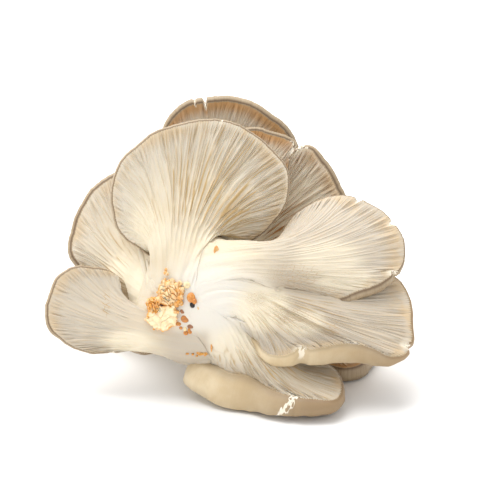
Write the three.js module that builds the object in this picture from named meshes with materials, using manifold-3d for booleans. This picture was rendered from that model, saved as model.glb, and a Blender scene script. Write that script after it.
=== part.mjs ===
// A cluster of oyster mushrooms, picked and laid on its side, at its real size in millimetres, +Z up.
//
// Eleven mushrooms grow out of one pale foot. Each is one body: a stem that flares into a fan-shaped cap, and
// gills that run down it. The foot carries a crust of dried spawn and a few buds that never opened.
//
// The cluster is drawn in its own growing frame and then laid down:
//   u  runs to the right across the foot,
//   v  runs up across the foot,
//   w  runs out of the foot, away from the caps.
// All the caps but the lowest turn their gills towards +w. Lying down leans the w axis up by LEAN.
import * as THREE from "three";
import { mergeVertices } from "three/addons/utils/BufferGeometryUtils.js";
import Module from "manifold-3d";

const wasm = await Module();
wasm.setup();

const LEAN = THREE.MathUtils.degToRad(25); // how far the foot's face tips up from facing sideways
const FOOT_HEIGHT = 52.9; // the foot's centre above the surface that the cluster lies on
const CENTRE_X = 14.66; // the bounding box's centre, from the foot's centre
const CENTRE_Y = 24.69;
const GAP = 0.3; // between neighbouring bodies
const WELD = 1e-3; // corners closer than this are one
const SLIVER = 0.01; // edges shorter than this are closed up after a cut

const GILL_DEPTH = 0.7; // half the height of a gill's ridge
const DIP = 0.35; // how much of its drop the gill side sinks behind a thick rim
const ROOT = 0.8; // the length of a stem's domed root, in half widths
const FAN = 0.4; // how much the gills turn from the neck towards the middle of the cap
const SPREAD = 0.3; // how evenly the gills are spread round the stem, from 0 to 1
const MEDIUM = 2; // gill columns to one column of the margin,
const COARSE = 4; // and of the stem and the cap's top
const STEM_STEPS = [-0.85, -0.45, 0, 0.5]; // the stem's rings: shares of its length, and of its root before 0
const GILL_RIDGES = [0, 0.4, 0.8, 1, 1, 0.9, 0]; // shares of GILL_DEPTH on the rows from the stem to the rim
const RELAX = 6; // passes that even out the gill side's rows
const TOP_STEPS = [0.3, 0.6, 0.85]; // rows of the cap's top: shares of the way from its shoulder to its crown

// Lumps of the foot, and its buds: [u, v, w, half widths along u, v and w] and [u, v, radius].
const FOOT_LUMPS = [
  [-6, -5, -11, 21, 17, 15],
  [-6, -22, -14, 13, 9, 10],
  [-2, 2, -22, 14, 12, 12],
];
const BUDS = [
  [-6.5, 2.5, 1.6], [-4, -4, 2], [-0.5, -8.5, 1.2], [-8.5, -10.5, 1.2], [-7, -14.5, 2], [-4.5, -18, 1.5],
  [-10, -16, 1.3], [-9, -19, 1.4], [-7, -21, 1.3], [-5, -21, 1.3],
];

// The crust: a pad with crumbs on it, placed by a seeded draw.
const CRUST_PAD = [-17, -7, 0.5, 9, 12, 4];
const CRUST_SEED = 11;
const CRUST_CRUMBS = 18;
const CRUMB_RADIUS = [1.8, 3.4];

const CREAM = "#efe3cd";
const PALE = "#f7f1e4";
const TAN = "#d9a45c";

// One mushroom: the stem runs from `foot` past `bend` to `neck`, where the cap begins. `stem` holds its half
// widths: across and along the facing side, at the foot and at the neck. `frontal` is how far the gills crowd
// to the stem's facing side, from 0 to 1. `crown` is the middle of the cap's top, `hollow` how far the gill
// side sinks behind its rim, and `full` how fully the top bulges. Each rim point is [u, v, w, drop, band]:
// where the gills end, and how far behind and outside it the cap's shoulder lies.
const MUSHROOMS = [
  {
    name: "mushroom_front",
    foot: [8, -8, -4], bend: [11, -15, 5], neck: [15, -23, 4], stem: [12, 11, 10, 9],
    crown: [34, -53.4, -12], hollow: 3, full: 0.5, gills: 32,
    rim: [
      [71, -48, 5, 5, 2], [69.5, -43, -5, 6, 2], [65.5, -38, -14, 7, 2], [52, -32, -24, 7, 3],
      [35, -27, -30, 7, 3], [20, -26, -30, 7, 3], [10, -27, -23, 8, 3], [4, -30, -13, 9, 7],
      [5, -34.5, -4, 13, 12.5], [10, -38.5, 2, 15.3, 8], [16, -41.5, 5, 15.4, 8], [23, -42, 7, 16.3, 7.5],
      [29, -45, 9, 14.2, 7], [36, -49.5, 13, 11, 6], [46, -52.5, 17, 8.5, 5], [56, -54, 18, 6, 4],
      [65, -54.5, 17, 4, 3], [69.5, -53, 12, 3.5, 2.5],
    ],
  },
  {
    name: "mushroom_right_low",
    foot: [9, -2, -4], bend: [16, 4, 11], neck: [24, -2, 13], stem: [13, 10, 11, 8],
    crown: [58, -18, -20], hollow: 0.5, full: 0.45, gills: 34,
    rim: [
      [106, -17.5, -1, 4, 1.5], [105, -5, -10, 4, 1.5], [101, 3.5, -18, 4, 1.5], [95, 8, -22, 4, 2],
      [82, 11, -25, 4, 2], [67, 10, -23, 4, 2], [52, 11, -21, 4, 2], [40, 14, -17, 4, 2],
      [27, 10, -10, 4, 2], [19, 2, -5, 4, 2], [18, -10, 1, 4, 2], [23.5, -18, 7, 4, 2],
      [28, -25, 12, 4, 1.5], [33, -31, 15, 4, 1.5], [40, -32.5, 16, 6, 1.5], [50, -30, 17, 9, 1.5],
      [62, -28.5, 16.5, 11, 1.5], [75, -26.5, 15.5, 12, 1.5], [86, -29, 14, 10, 1.5], [94, -33, 11.5, 5, 1.5],
      [101, -33, 10, 1.5, 1], [105.5, -28, 4, 2, 1],
    ],
  },
  {
    name: "mushroom_right",
    foot: [8, 6, -3], bend: [14, 15, 11], neck: [31, 13, 11], stem: [12, 10, 11, 7],
    crown: [56, 17, -15], hollow: 3, full: 0.35, gills: 32,
    rim: [
      [102.5, 20, -12, 3, 1], [101, 28.5, -15, 3, 1], [95.5, 36, -18, 3, 1], [87.5, 42, -20, 3, 1],
      [79, 46, -21, 3, 1], [70, 47.5, -22, 3, 1], [61, 45.5, -21, 3, 1], [51, 40.5, -18, 3, 1],
      [44.5, 33.5, -13, 3, 1], [39, 26, -7, 3, 1], [31, 22.5, 0, 2, 1], [23, 18, 2, 2, 1],
      [23, 4, 10, 2, 1], [34, -2, 9, 3, 1], [50, -5, 6, 4, 2], [65.5, -5, 3.5, 4, 3],
      [80.5, 0, 1, 4, 3], [90, 3.5, -2, 4, 3], [96, 7, -4, 4, 2], [101, 12.5, -9, 3, 1],
    ],
  },
  {
    name: "mushroom_upper",
    foot: [-7, 3, -6], bend: [-11, 10, 3], neck: [-10, 20, 0], stem: [11, 9, 14, 6.5],
    frontal: 0.45, crown: [-2, 38, -17], hollow: 4, full: 0.35, gills: 46,
    rim: [
      [23.5, 24, -11, 3, 1], [33, 30.5, -11, 3, 1], [39.5, 38, -10, 3, 1], [43, 45.5, -9, 3, 1],
      [44, 55.5, -8, 3, 1], [42, 63, -8, 3, 1], [35.5, 70.5, -8, 3, 1], [26.5, 77.5, -8, 3, 1],
      [20, 81.7, -8, 3, 1], [10.5, 84.6, -8, 3, 1], [4, 85, -8, 3, 1], [-6, 83.4, -7, 3, 1],
      [-17.7, 80.5, -5, 3, 1], [-24.3, 77, -4, 3, 1], [-30.3, 72, -3, 3, 1], [-36.7, 66.7, -2, 3, 1],
      [-41.5, 59.6, -1, 3, 1], [-43.5, 50, 0, 3, 1], [-43, 41, 0, 3, 1], [-41, 32, 0, 3, 1],
      [-36, 25.5, -1, 3, 1], [-30, 21.5, -2, 3, 1], [-23, 17, -6, 2, 1], [-12, 14, -10, 2, 1],
      [0, 15, -12, 2, 1], [12, 19, -12, 2, 1],
    ],
  },
  {
    name: "mushroom_left_low",
    foot: [1, -20, -9], bend: [-13, -25, -4], neck: [-27, -22, -4], stem: [11, 9, 9.5, 7],
    crown: [-46, -11, -18], hollow: 3, full: 0.35, gills: 28,
    rim: [
      [-26, -11, -9, 3, 1], [-30.5, -6, -9, 3, 1], [-34.5, 0, -9, 3, 1], [-39, 4.5, -9, 3, 1.5],
      [-46, 9, -9, 3, 1.5], [-55, 10.5, -8, 3, 1.5], [-64, 10.5, -7, 3, 1.5], [-70.5, 6, -6, 3, 1.5],
      [-74.5, -3, -4, 3, 1.5], [-76, -11, -3, 3, 1.5], [-74, -19, -2, 3, 1.5], [-67.5, -26, -1, 3, 1],
      [-55, -31, -1, 3, 1], [-44, -31, -2, 3, 1], [-36, -30, -4, 3, 1], [-27, -32, -8, 2, 1],
      [-20, -29, -11, 2, 1], [-18, -21, -12, 2, 1], [-20, -14, -11, 2, 1],
    ],
  },
  {
    name: "mushroom_left",
    foot: [-8, 0, -8], bend: [-16, -3, -9], neck: [-25, 2, -13], stem: [10, 8, 11, 7],
    crown: [-40, 18, -38], hollow: 0.5, full: 0.4, gills: 26,
    rim: [
      [-18, 38, -27, 3, 2], [-22, 50, -28, 3, 2], [-29, 57, -28, 3, 2], [-38, 58.5, -28, 3, 2.5],
      [-46.5, 55.5, -28, 3, 2.5], [-53.5, 50, -28, 3, 2.5], [-58.5, 42.5, -28, 3, 2.5],
      [-63, 32, -27, 3, 2.5], [-65, 24.5, -26, 3, 2.5], [-64.5, 18, -25, 3, 2.5], [-61, 12.5, -25, 3, 2.5],
      [-55, 2, -24, 3, 2], [-46, -8, -22, 3, 2],
      [-36, -14, -20, 3, 2], [-24, -14, -20, 2, 1], [-16, -5, -21, 2, 1], [-14, 10, -23, 2, 1],
      [-15, 24, -25, 2, 1],
    ],
  },
  {
    name: "mushroom_upper_right",
    foot: [2, 8, -12], bend: [8, 20, -16], neck: [17, 38, -23], stem: [9, 8, 9, 5],
    crown: [26, 54, -36], hollow: 1.5, full: 0.2, gills: 20,
    rim: [
      [46, 67, -30, 2, 1], [47.5, 73.5, -30, 2, 2], [44, 75.5, -30, 2, 2], [36, 78.5, -30, 2, 2],
      [26, 80.5, -30, 2, 2], [16, 78, -29, 2, 2], [10, 72, -29, 2, 1], [6, 60, -29, 2, 1],
      [5, 46, -29, 2, 1], [9, 34, -30, 2, 1], [18, 32, -30, 2, 1], [29, 38, -29, 2, 1],
      [40, 51, -29, 2, 1],
    ],
  },
  {
    name: "mushroom_right_high",
    foot: [4, 6, -16], bend: [10, 10, -22], neck: [20, 20, -35], stem: [10, 8, 9, 6],
    crown: [42, 34, -60], hollow: 2, full: 0.3, gills: 28,
    rim: [
      [73, 40, -44, 3, 2.5], [70.5, 49, -44, 3, 3], [67, 56, -44, 3, 3], [63.5, 62, -44, 3, 3],
      [59.5, 67, -44, 3, 3], [56, 71.5, -44, 3, 2], [50, 73, -43, 2, 1], [46.5, 68, -43, 2, 1],
      [42, 62, -42, 2, 1], [32, 50, -42, 2, 1],
      [22, 38, -42, 2, 1], [13, 26, -43, 2, 1], [11, 15, -44, 2, 1], [20, 9, -45, 2, 1],
      [35, 11, -46, 2, 1], [52, 17, -47, 2, 1], [66, 27, -46, 3, 2],
    ],
  },
  {
    name: "mushroom_top",
    foot: [-2, 6, -18], bend: [-1, 20, -36], neck: [4, 44, -52], stem: [9, 8, 9, 6],
    crown: [10, 66, -70], hollow: 3, full: 0.4, gills: 28,
    rim: [
      [49.5, 58, -58, 3, 2.5], [47.5, 72.5, -54, 3, 2.5], [42.5, 80.5, -51, 3, 2.5], [34, 88, -49, 3, 2.5],
      [25.5, 93, -48, 3, 2.5], [16, 95.5, -48, 3, 2.5], [2, 95, -48, 3, 2.5], [-8, 92.5, -49, 3, 2.5],
      [-14.5, 87, -51, 3, 2.5], [-18.5, 79, -53, 3, 2], [-20, 66, -56, 3, 2], [-18, 52, -60, 3, 2],
      [-12, 40, -63, 3, 2], [-3, 34, -65, 3, 2], [12, 34, -65, 3, 2], [28, 37, -64, 3, 2],
      [42, 46, -61, 3, 2],
    ],
  },
  {
    name: "mushroom_back_right",
    foot: [8, -10, -18], bend: [28, -14, -28], neck: [48, -20, -40], stem: [10, 8, 8, 7],
    crown: [72, -34, -52], hollow: 3, full: 0.45, gills: 20,
    rim: [
      [87, -31.5, -36, 7, 2], [90, -24, -52, 7, 2], [84, -16, -66, 7, 2], [68, -12, -72, 7, 2],
      [52, -14, -68, 7, 2], [42, -18, -57, 7, 2], [40, -23, -46, 7, 2], [46, -29, -37, 7, 2],
      [54, -33, -29, 7, 2], [62, -37, -24, 7, 2], [72, -39.5, -21, 6.5, 2], [80.5, -38, -25, 7, 2],
    ],
  },
  {
    name: "mushroom_back_left",
    foot: [-6, -8, -18], bend: [-14, -6, -36], neck: [-22, -6, -50], stem: [10, 9, 9, 8],
    crown: [-38, -14, -82], hollow: 3, full: 0.4, gills: 20,
    rim: [
      [-4, -14, -62, 4, 2], [-5, -2, -70, 4, 2], [-14, 8, -77, 4, 2], [-28, 12, -80, 4, 2],
      [-44, 11, -79, 4, 2], [-58, 4, -74, 4, 2], [-64, -8, -67, 4, 2], [-58, -17, -61, 4, 2],
      [-46, -23, -58, 4, 2], [-30, -25, -56, 4, 2], [-15, -22, -58, 4, 2],
    ],
  },
];

const v3 = (p) => new THREE.Vector3(p[0], p[1], p[2]);
const along = (p, d, k) => p.clone().addScaledVector(d, k);
const without = (d, n) => d.clone().addScaledVector(n, -d.dot(n)).normalize();
const mix = (a, b, k) => a + (b - a) * k;

// A point of the growing frame, laid down.
function lay({ x: u, y: v, z: w }) {
  const sin = Math.sin(LEAN);
  const cos = Math.cos(LEAN);
  return new THREE.Vector3(u - CENTRE_X, v * sin - w * cos - CENTRE_Y, v * cos + w * sin + FOOT_HEIGHT);
}

// ---- Solids ---------------------------------------------------------------------------------------------

// A closed geometry as a solid that can be joined and cut.
function solidOf(geometry) {
  const vertProperties = Float32Array.from(geometry.getAttribute("position").array);
  const triVerts = Uint32Array.from(geometry.getIndex().array);
  return new wasm.Manifold(new wasm.Mesh({ numProp: 3, vertProperties, triVerts }));
}

function geometryOf(solid) {
  const { vertProperties, triVerts } = solid.getMesh();
  const g = new THREE.BufferGeometry();
  g.setAttribute("position", new THREE.BufferAttribute(vertProperties, 3));
  g.setIndex(new THREE.BufferAttribute(triVerts, 1));
  return g;
}

// The same closed geometry with its surface moved out by GAP, which leaves room round a neighbour.
function swollen(geometry) {
  const g = geometry.clone();
  g.computeVertexNormals();
  const position = g.getAttribute("position");
  const normal = g.getAttribute("normal");
  for (let i = 0; i < position.count; i++) {
    position.setXYZ(
      i,
      position.getX(i) + GAP * normal.getX(i),
      position.getY(i) + GAP * normal.getY(i),
      position.getZ(i) + GAP * normal.getZ(i),
    );
  }
  return g;
}

// Loose triangles of the growing frame as one laid-down geometry.
function welded(triangles) {
  const corners = triangles.flat().flatMap((p) => lay(p).toArray());
  const g = new THREE.BufferGeometry();
  g.setAttribute("position", new THREE.Float32BufferAttribute(corners, 3));
  return mergeVertices(g, WELD);
}

// ---- Mushrooms ------------------------------------------------------------------------------------------

// The rim as `count` evenly spaced samples of a closed smooth curve, with drop and band carried along.
function rimSamples(rim, count) {
  const curve = new THREE.CatmullRomCurve3(rim.map(v3), true, "centripetal");
  curve.arcLengthDivisions = 600;
  return Array.from({ length: count }, (_, i) => {
    const t = curve.getUtoTmapping(i / count);
    const at = t * rim.length;
    const a = rim[Math.floor(at) % rim.length];
    const b = rim[(Math.floor(at) + 1) % rim.length];
    const k = THREE.MathUtils.smoothstep(at - Math.floor(at), 0, 1);
    return {
      rim: curve.getPoint(t),
      tangent: curve.getTangent(t),
      drop: mix(a[3], b[3], k),
      band: mix(a[4], b[4], k),
    };
  });
}

// The direction that a cap's gill side faces: Newell's normal of the rim.
function facing(points) {
  const n = new THREE.Vector3();
  points.forEach((p, i) => n.add(p.clone().cross(points[(i + 1) % points.length])));
  return n.normalize();
}

// What the surface needs to know at each of `count` places round the rim. Each place has a meridian: it
// leaves the stem's ring, runs along the gills to the rim, turns over the margin and ends at the crown.
function meridians(m, count) {
  const samples = rimSamples(m.rim, count);
  const n = facing(samples.map((s) => s.rim));
  const neck = v3(m.neck);
  const crown = v3(m.crown);
  const middle = samples.reduce((sum, s) => sum.addScaledVector(s.rim, 1 / count), new THREE.Vector3());
  const ahead = without(middle.clone().sub(neck), n);
  const across = n.clone().cross(ahead);
  const stem = new THREE.QuadraticBezierCurve3(v3(m.foot), v3(m.bend), neck);
  const rise = stem.getTangent(1);

  // A point of the stem's ring at the fraction s of its length. Before 0 the stem's root closes like a dome.
  const ring = (s, angle) => {
    const at = Math.max(s, 0);
    const tangent = stem.getTangent(at);
    const side = without(across, tangent);
    const front = tangent.clone().cross(side);
    const k = THREE.MathUtils.smoothstep(at, 0, 1);
    const taper = s < 0 ? Math.sqrt(1 - s * s) : 1;
    const wide = mix(m.stem[0], m.stem[2], k) * taper;
    const deep = mix(m.stem[1], m.stem[3], k) * taper;
    const centre = along(stem.getPoint(at), tangent, Math.min(s, 0) * m.stem[1] * ROOT);
    return along(along(centre, side, wide * Math.sin(angle)), front, deep * Math.cos(angle));
  };

  // Where each place starts on the stem's ring: in the direction of its rim point, but spread more evenly.
  const turns = samples.map((s, i) => {
    const from = s.rim.clone().sub(neck);
    return { polar: Math.atan2(from.dot(across), from.dot(ahead)), even: (2 * Math.PI * i) / count };
  });
  const lag = Math.atan2(
    turns.reduce((sum, { polar, even }) => sum + Math.sin(polar - even), 0),
    turns.reduce((sum, { polar, even }) => sum + Math.cos(polar - even), 0),
  );

  return samples.map((s, i) => {
    const { polar, even } = turns[i];
    const behind = even + lag - polar;
    const turned = polar + SPREAD * Math.atan2(Math.sin(behind), Math.cos(behind));
    const angle = turned - (m.frontal ?? 0) * Math.sin(turned);
    const out = s.tangent.clone().cross(n).normalize();
    const start = ring(1, angle);
    const chord = s.rim.distanceTo(start);
    const inward = without(start.clone().sub(s.rim), n);
    inward.addScaledVector(without(middle.clone().sub(s.rim), n), FAN).normalize();
    const near = [-3, 0, 3].map((j) => samples[(i + j + count) % count].drop);
    const dip = (m.hollow + DIP * (near[0] + near[1] + near[2]) / 3) * Math.min(1, chord / 35);
    const climb = Math.min(0.35 * chord, 18) * (0.5 + 0.5 * Math.cos(angle));
    const shoulder = along(along(s.rim, n, -s.drop), out, s.band);
    const sink = shoulder.clone().sub(crown).dot(n);
    const toShoulder = shoulder.clone().sub(crown).addScaledVector(n, -sink);
    return {
      root: ring(-1, angle),
      ridge: Math.min(1, chord / 14),
      ring: (t) => ring(t, angle),
      gill: new THREE.CubicBezierCurve3(
        start,
        along(start, rise, climb),
        along(along(s.rim, inward, 0.33 * chord), n, -dip),
        s.rim,
      ),
      margin: (a) => along(along(s.rim, n, -s.drop * (1 - Math.cos(a))), out, s.band * Math.sin(a)),
      top: new THREE.CubicBezierCurve3(
        shoulder,
        along(shoulder, n, -sink * m.full),
        along(crown, toShoulder, 0.5),
        crown,
      ),
    };
  });
}

// Triangles between two neighbouring rings, of which `many` has a whole number of points for each of `few`'s.
function stitch(triangles, few, many, flip) {
  const k = many.length / few.length;
  const half = Math.floor(k / 2);
  const put = (a, b, c) => triangles.push(flip ? [a, c, b] : [a, b, c]);
  few.forEach((a, i) => {
    const b = few[(i + 1) % few.length];
    const at = (j) => many[(i * k + j) % many.length];
    for (let j = 0; j < half; j++) put(a, at(j + 1), at(j));
    put(a, b, at(half));
    for (let j = half; j < k; j++) put(b, at(j + 1), at(j));
  });
}

// A closed geometry from rings in order, with a point that closes it at each end.
function skin(rings, first, last) {
  const triangles = [];
  rings.slice(1).forEach((ring, i) => {
    const before = rings[i];
    if (before.length <= ring.length) stitch(triangles, before, ring, true);
    else stitch(triangles, ring, before, false);
  });
  const close = (ring, centre, flip) =>
    ring.forEach((p, i) => {
      const q = ring[(i + 1) % ring.length];
      triangles.push(flip ? [centre, q, p] : [centre, p, q]);
    });
  close(rings[0], first, false);
  close(rings.at(-1), last, true);
  return welded(triangles);
}

// The gill side as rows of points from the stem's ring to the rim. Each inner point moves to the middle of
// its four neighbours RELAX times, which spreads the rows smoothly, as the skin of a soap film.
function gillRows(fine) {
  const columns = fine.length;
  let rows = GILL_RIDGES.map((_, j) => fine.map((d) => d.gill.getPoint(j / (GILL_RIDGES.length - 1))));
  for (let pass = 0; pass < RELAX; pass++) {
    rows = rows.map((row, j) => {
      if (j === 0 || j === rows.length - 1) return row;
      return row.map((_, i) => {
        const beside = row[(i + 1) % columns].clone().add(row[(i + columns - 1) % columns]);
        return beside.add(rows[j - 1][i]).add(rows[j + 1][i]).multiplyScalar(0.25);
      });
    });
  }
  return rows;
}

// One mushroom, with its gills raised from the cap's under side: columns stand out and sink in by turns.
function mushroom(m) {
  const columns = 2 * m.gills;
  const fine = meridians(m, columns);
  const medium = fine.filter((_, i) => i % MEDIUM === 0);
  const coarse = fine.filter((_, i) => i % COARSE === 0);
  const rows = gillRows(fine);
  const gillRings = rows.slice(1).map((row, j) =>
    row.map((p, i) => {
      const next = row[(i + 1) % columns];
      const before = row[(i + columns - 1) % columns];
      const outward = rows[Math.min(j + 2, rows.length - 1)][i].clone().sub(rows[j][i]);
      const normal = next.clone().sub(before).cross(outward).normalize();
      const reach = Math.min(fine[i].ridge, next.distanceTo(before) / 2);
      return along(p, normal, (i % 2 ? -1 : 1) * GILL_DEPTH * GILL_RIDGES[j + 1] * reach);
    }),
  );
  const neckRing = coarse.map((d) => d.ring(1));
  const stemRings = STEM_STEPS.map((s) => coarse.map((d) => d.ring(s)));
  const stem = skin([...stemRings, neckRing], fine[0].root, v3(m.neck));
  const cap = skin(
    [
      neckRing,
      ...gillRings,
      medium.map((d) => d.margin(Math.PI / 4)),
      coarse.map((d) => d.margin(Math.PI / 2)),
      ...TOP_STEPS.map((t) => coarse.map((d) => d.top.getPoint(t))),
    ],
    v3(m.neck),
    v3(m.crown),
  );
  return solidOf(stem).add(solidOf(cap));
}

// ---- Foot, buds and crust -------------------------------------------------------------------------------

// A lump: a ball of `detail`, stretched to its half widths and dented by a few slow waves.
function lump([u, v, w, ru, rv, rw], detail, dents = 0.06) {
  const ball = new THREE.IcosahedronGeometry(1, detail).deleteAttribute("normal").deleteAttribute("uv");
  const g = mergeVertices(ball);
  const position = g.getAttribute("position");
  for (let i = 0; i < position.count; i++) {
    const p = new THREE.Vector3().fromBufferAttribute(position, i);
    const k = 1 + dents * Math.sin(5 * p.x + 3 * p.y + u) * Math.cos(4 * p.z + 2 * p.x + v);
    const at = lay(new THREE.Vector3(u + ru * k * p.x, v + rv * k * p.y, w + rw * k * p.z));
    position.setXYZ(i, at.x, at.y, at.z);
  }
  return solidOf(g);
}

// How far out a lump's face lies at (u, v).
function face([cu, cv, cw, ru, rv, rw], u, v) {
  return cw + rw * Math.sqrt(Math.max(0, 1 - ((u - cu) / ru) ** 2 - ((v - cv) / rv) ** 2));
}

function foot() {
  const lumps = FOOT_LUMPS.map((l) => lump(l, 3));
  const buds = BUDS.map(([u, v, r]) => lump([u, v, face(FOOT_LUMPS[0], u, v), r, r, r], 1, 0));
  return wasm.Manifold.union([...lumps, ...buds]);
}

// Crumbs of dried spawn, heaped on the foot's face where the cluster broke from its block.
function crust() {
  let seed = CRUST_SEED;
  const random = () => {
    seed = (seed * 16807) % 2147483647;
    return seed / 2147483647;
  };
  const [cu, cv, , ru, rv] = CRUST_PAD;
  const crumbs = Array.from({ length: CRUST_CRUMBS }, () => {
    const turn = 2 * Math.PI * random();
    const reach = Math.sqrt(random());
    const u = cu + ru * reach * Math.cos(turn);
    const v = cv + rv * reach * Math.sin(turn);
    const r = mix(CRUMB_RADIUS[0], CRUMB_RADIUS[1], random());
    return lump([u, v, face(CRUST_PAD, u, v), r, r * mix(0.7, 1.1, random()), 0.8 * r], 1, 0.15);
  });
  return wasm.Manifold.union([lump(CRUST_PAD, 1), ...crumbs]);
}

// ---- The cluster ----------------------------------------------------------------------------------------

// The cluster lies flat where it meets the surface.
const underSurface = (() => {
  const box = new THREE.BoxGeometry(400, 400, 20).translate(0, 0, -10);
  return solidOf(mergeVertices(box.deleteAttribute("normal").deleteAttribute("uv")));
})();

const largest = (solid) => solid.decompose().sort((a, b) => b.volume() - a.volume())[0];

const cluster = new THREE.Group();
const taken = [];

// Adds a body to the cluster, cut clear of those that are already in it.
function add(name, solid, color) {
  const cut = taken.reduce((rest, other) => rest.subtract(other), solid).subtract(underSurface);
  const geometry = geometryOf(largest(cut).simplify(SLIVER));
  const mesh = new THREE.Mesh(geometry, new THREE.MeshStandardMaterial({ color, roughness: 0.7 }));
  mesh.name = name;
  cluster.add(mesh);
  taken.push(solidOf(swollen(geometryOf(solid))));
}

add("foot", foot(), PALE);
for (const m of MUSHROOMS) add(m.name, mushroom(m), CREAM);
add("crust", crust(), TAN);

export default cluster;
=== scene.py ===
import math

import bpy
import numpy as np
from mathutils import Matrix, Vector


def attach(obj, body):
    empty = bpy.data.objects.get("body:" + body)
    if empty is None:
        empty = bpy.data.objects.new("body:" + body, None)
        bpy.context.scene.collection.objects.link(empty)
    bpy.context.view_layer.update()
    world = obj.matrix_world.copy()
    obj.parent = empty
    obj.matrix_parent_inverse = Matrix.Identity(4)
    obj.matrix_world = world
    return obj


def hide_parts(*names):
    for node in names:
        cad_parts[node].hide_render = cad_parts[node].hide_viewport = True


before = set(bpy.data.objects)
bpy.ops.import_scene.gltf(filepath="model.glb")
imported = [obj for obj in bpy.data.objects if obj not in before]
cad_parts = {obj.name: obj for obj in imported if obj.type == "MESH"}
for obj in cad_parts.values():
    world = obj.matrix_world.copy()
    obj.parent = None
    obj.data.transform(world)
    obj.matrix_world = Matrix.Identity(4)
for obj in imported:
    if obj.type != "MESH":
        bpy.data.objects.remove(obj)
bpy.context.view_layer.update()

# A cluster of oyster mushrooms, picked and laid on its side.
#
# Every mushroom is one closed skin: a stem, the gill side, the margin and the cap's top, with a gill on every
# millimetre or so of the rim. The shapes are worked out in the cluster's growing frame, in millimetres:
#   u  runs to the right across the foot,
#   v  runs up across the foot,
#   w  runs out of the foot, away from the caps.
# `lay` leans them down into the frame's own metres.

MM = 0.001
LEAN = math.radians(25)
FOOT_HEIGHT = 52.9  # of the growing frame's origin over the floor
CENTRE_X = 14.66  # from that origin to the middle of the cluster, along the floor
CENTRE_Y = 24.69

# ---- The base surface of a mushroom, by the same rules as its solid's ----

RIM_STEPS = 60  # to a span of the rim, when its length is measured
DIP = 0.35  # how much of its drop the gill side sinks behind a thick rim, which is less
DIP_CHORD = 35  # where the rim is nearer than this to the stem
CLIMB = 0.35  # how far the gill side first follows the stem, as a share of the way to the rim, and
MOST_CLIMB = 18  # the most that it does
COME_IN = 0.33  # how far it comes in behind the rim, as a share of the way
ROOT = 0.8  # the length of a stem's domed root, in half widths
FAN = 0.4  # how much the gills turn from the neck towards the middle of the cap
SPREAD = 0.3  # how evenly the gills are spread round the stem, from 0 to 1
BASE_ROWS = 7  # rows of the gill side before it is drawn finely
RELAX = 6  # passes that even out those rows
STEM_BASE = 5  # rows of the stem before it is drawn finely
FLARE = 12  # passes that round off the neck, and how far each moves the rows of stem and gill side
FLARE_SHARES = np.array([0, 0, 0, 0.3, 0.6, 0.7, 0.6, 0.5, 0.25, 0, 0, 0])[:, None, None]

# ---- The fine surface ----

GILL_PITCH = 1.3  # between gills at the rim
GILL_COLUMNS = 4  # columns of points to a gill
GILL_HEIGHT = 1.2  # of the tallest gill over its gap
GILL_SUNK = 0.6  # how much of that lies under the base surface
GILL_LEAST = 0.72  # the height of the lowest gill, over the tallest one's
GILL_RISE = 0.16  # the reach over which a gill comes up
GILL_STEEP = 1.5  # the most height over half the pitch
GILL_SHARES = (0.25, 1.2)  # of the height, where the gills lie close and where they stand open
CREST_POWERS = (3.0, 1.6)  # of a gill's section, likewise
NECK_SHARE = 0.45  # of the height at the neck, and
NECK_REACH = 0.2  # the reach from which it is in full
RIM_SHARE = 0.1  # of the height at the rim, and
RIM_REACH = 0.05  # how far from it the gills grow lower
GILL_CYCLE = 8  # every eighth gill runs the whole way
# The gills, longest first: [pitch in gills, offset, reach at which they start, how far that varies].
GILL_LEVELS = ((GILL_CYCLE, 0, -2.0, 0.0), (GILL_CYCLE, 4, 0.02, 0.2), (4, 2, 0.2, 0.3), (2, 1, 0.45, 0.4))
STEM_REACH = -0.5  # the reach that stands for the stem, where only the longest gills run
STEM_GILL_HEIGHT = 0.28
STEM_GILL_STEEP = 1.2  # the most height over the pitch
STEM_GILLS_FROM = 0.35  # the share of the stem from which they show
# STEM_GAP: how dark the painted shade in the gaps between the stem's gills is.
STEM_GAP = 0.1  # how dark the gaps are there
# How dark the painted shade down in the gaps is on the gill side:
GAP_RISE = 2.4  # times the reach, eased, from the neck up to 1,
GAP_OUTER = 0.45  # near the rim, and
GAP_FADES = (0.35, 0.85)  # the reaches between which they fade to that
GAP_CLOSED = 0.22  # where the gills lie close
GAP_TALL = 0.6  # the gills' height from which the gaps are in full
GAP_CHORD = 26  # the gills' length from which they are
GAP_POWER = 1.6  # of how deep a place lies between two gills
UNEVEN = (0.2, 1.8)  # the least and the most that waves make of it
CRACK_LENGTH = 5.5
CRACK_SCALE = 0.2  # of the brick pattern that they are the joints of
COMB = {"taupe": 0.35, "belly": 0.9}  # how far the gills' ends stand out beyond their gaps, by the cap's skin
COMB_FROM = 0.88  # the reach from which they do
TEAR_WIDTH = 0.3  # of a tear over the cap's margin, to how far its bare flesh reaches
TEAR_OVER = 0.7  # the share of a tear's way over the edge that is on the margin
BARE_TOP = 0.28  # the share of the cap's top that its bare flesh may cover
FAR_BESIDE = 8.0  # tear widths from a tear, which counts as far away
RAGGED_FROM = 0.8  # the reach from which the rim's raggedness grows
ROW_PITCH = 1.35  # between rows of the gill side, and
LEAST_ROWS = 20
MOST_ROWS = 44  # the most rows that it gets
ROOT_ROWS = 7
STEM_ROWS = 22
MARGIN_ROWS = 5
MARGIN_START = 0.12  # where the first of them lies, as a share of the quarter turn
MARGIN_LENGTH = 4  # along a meridian
TOP_ROWS = 14

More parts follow.
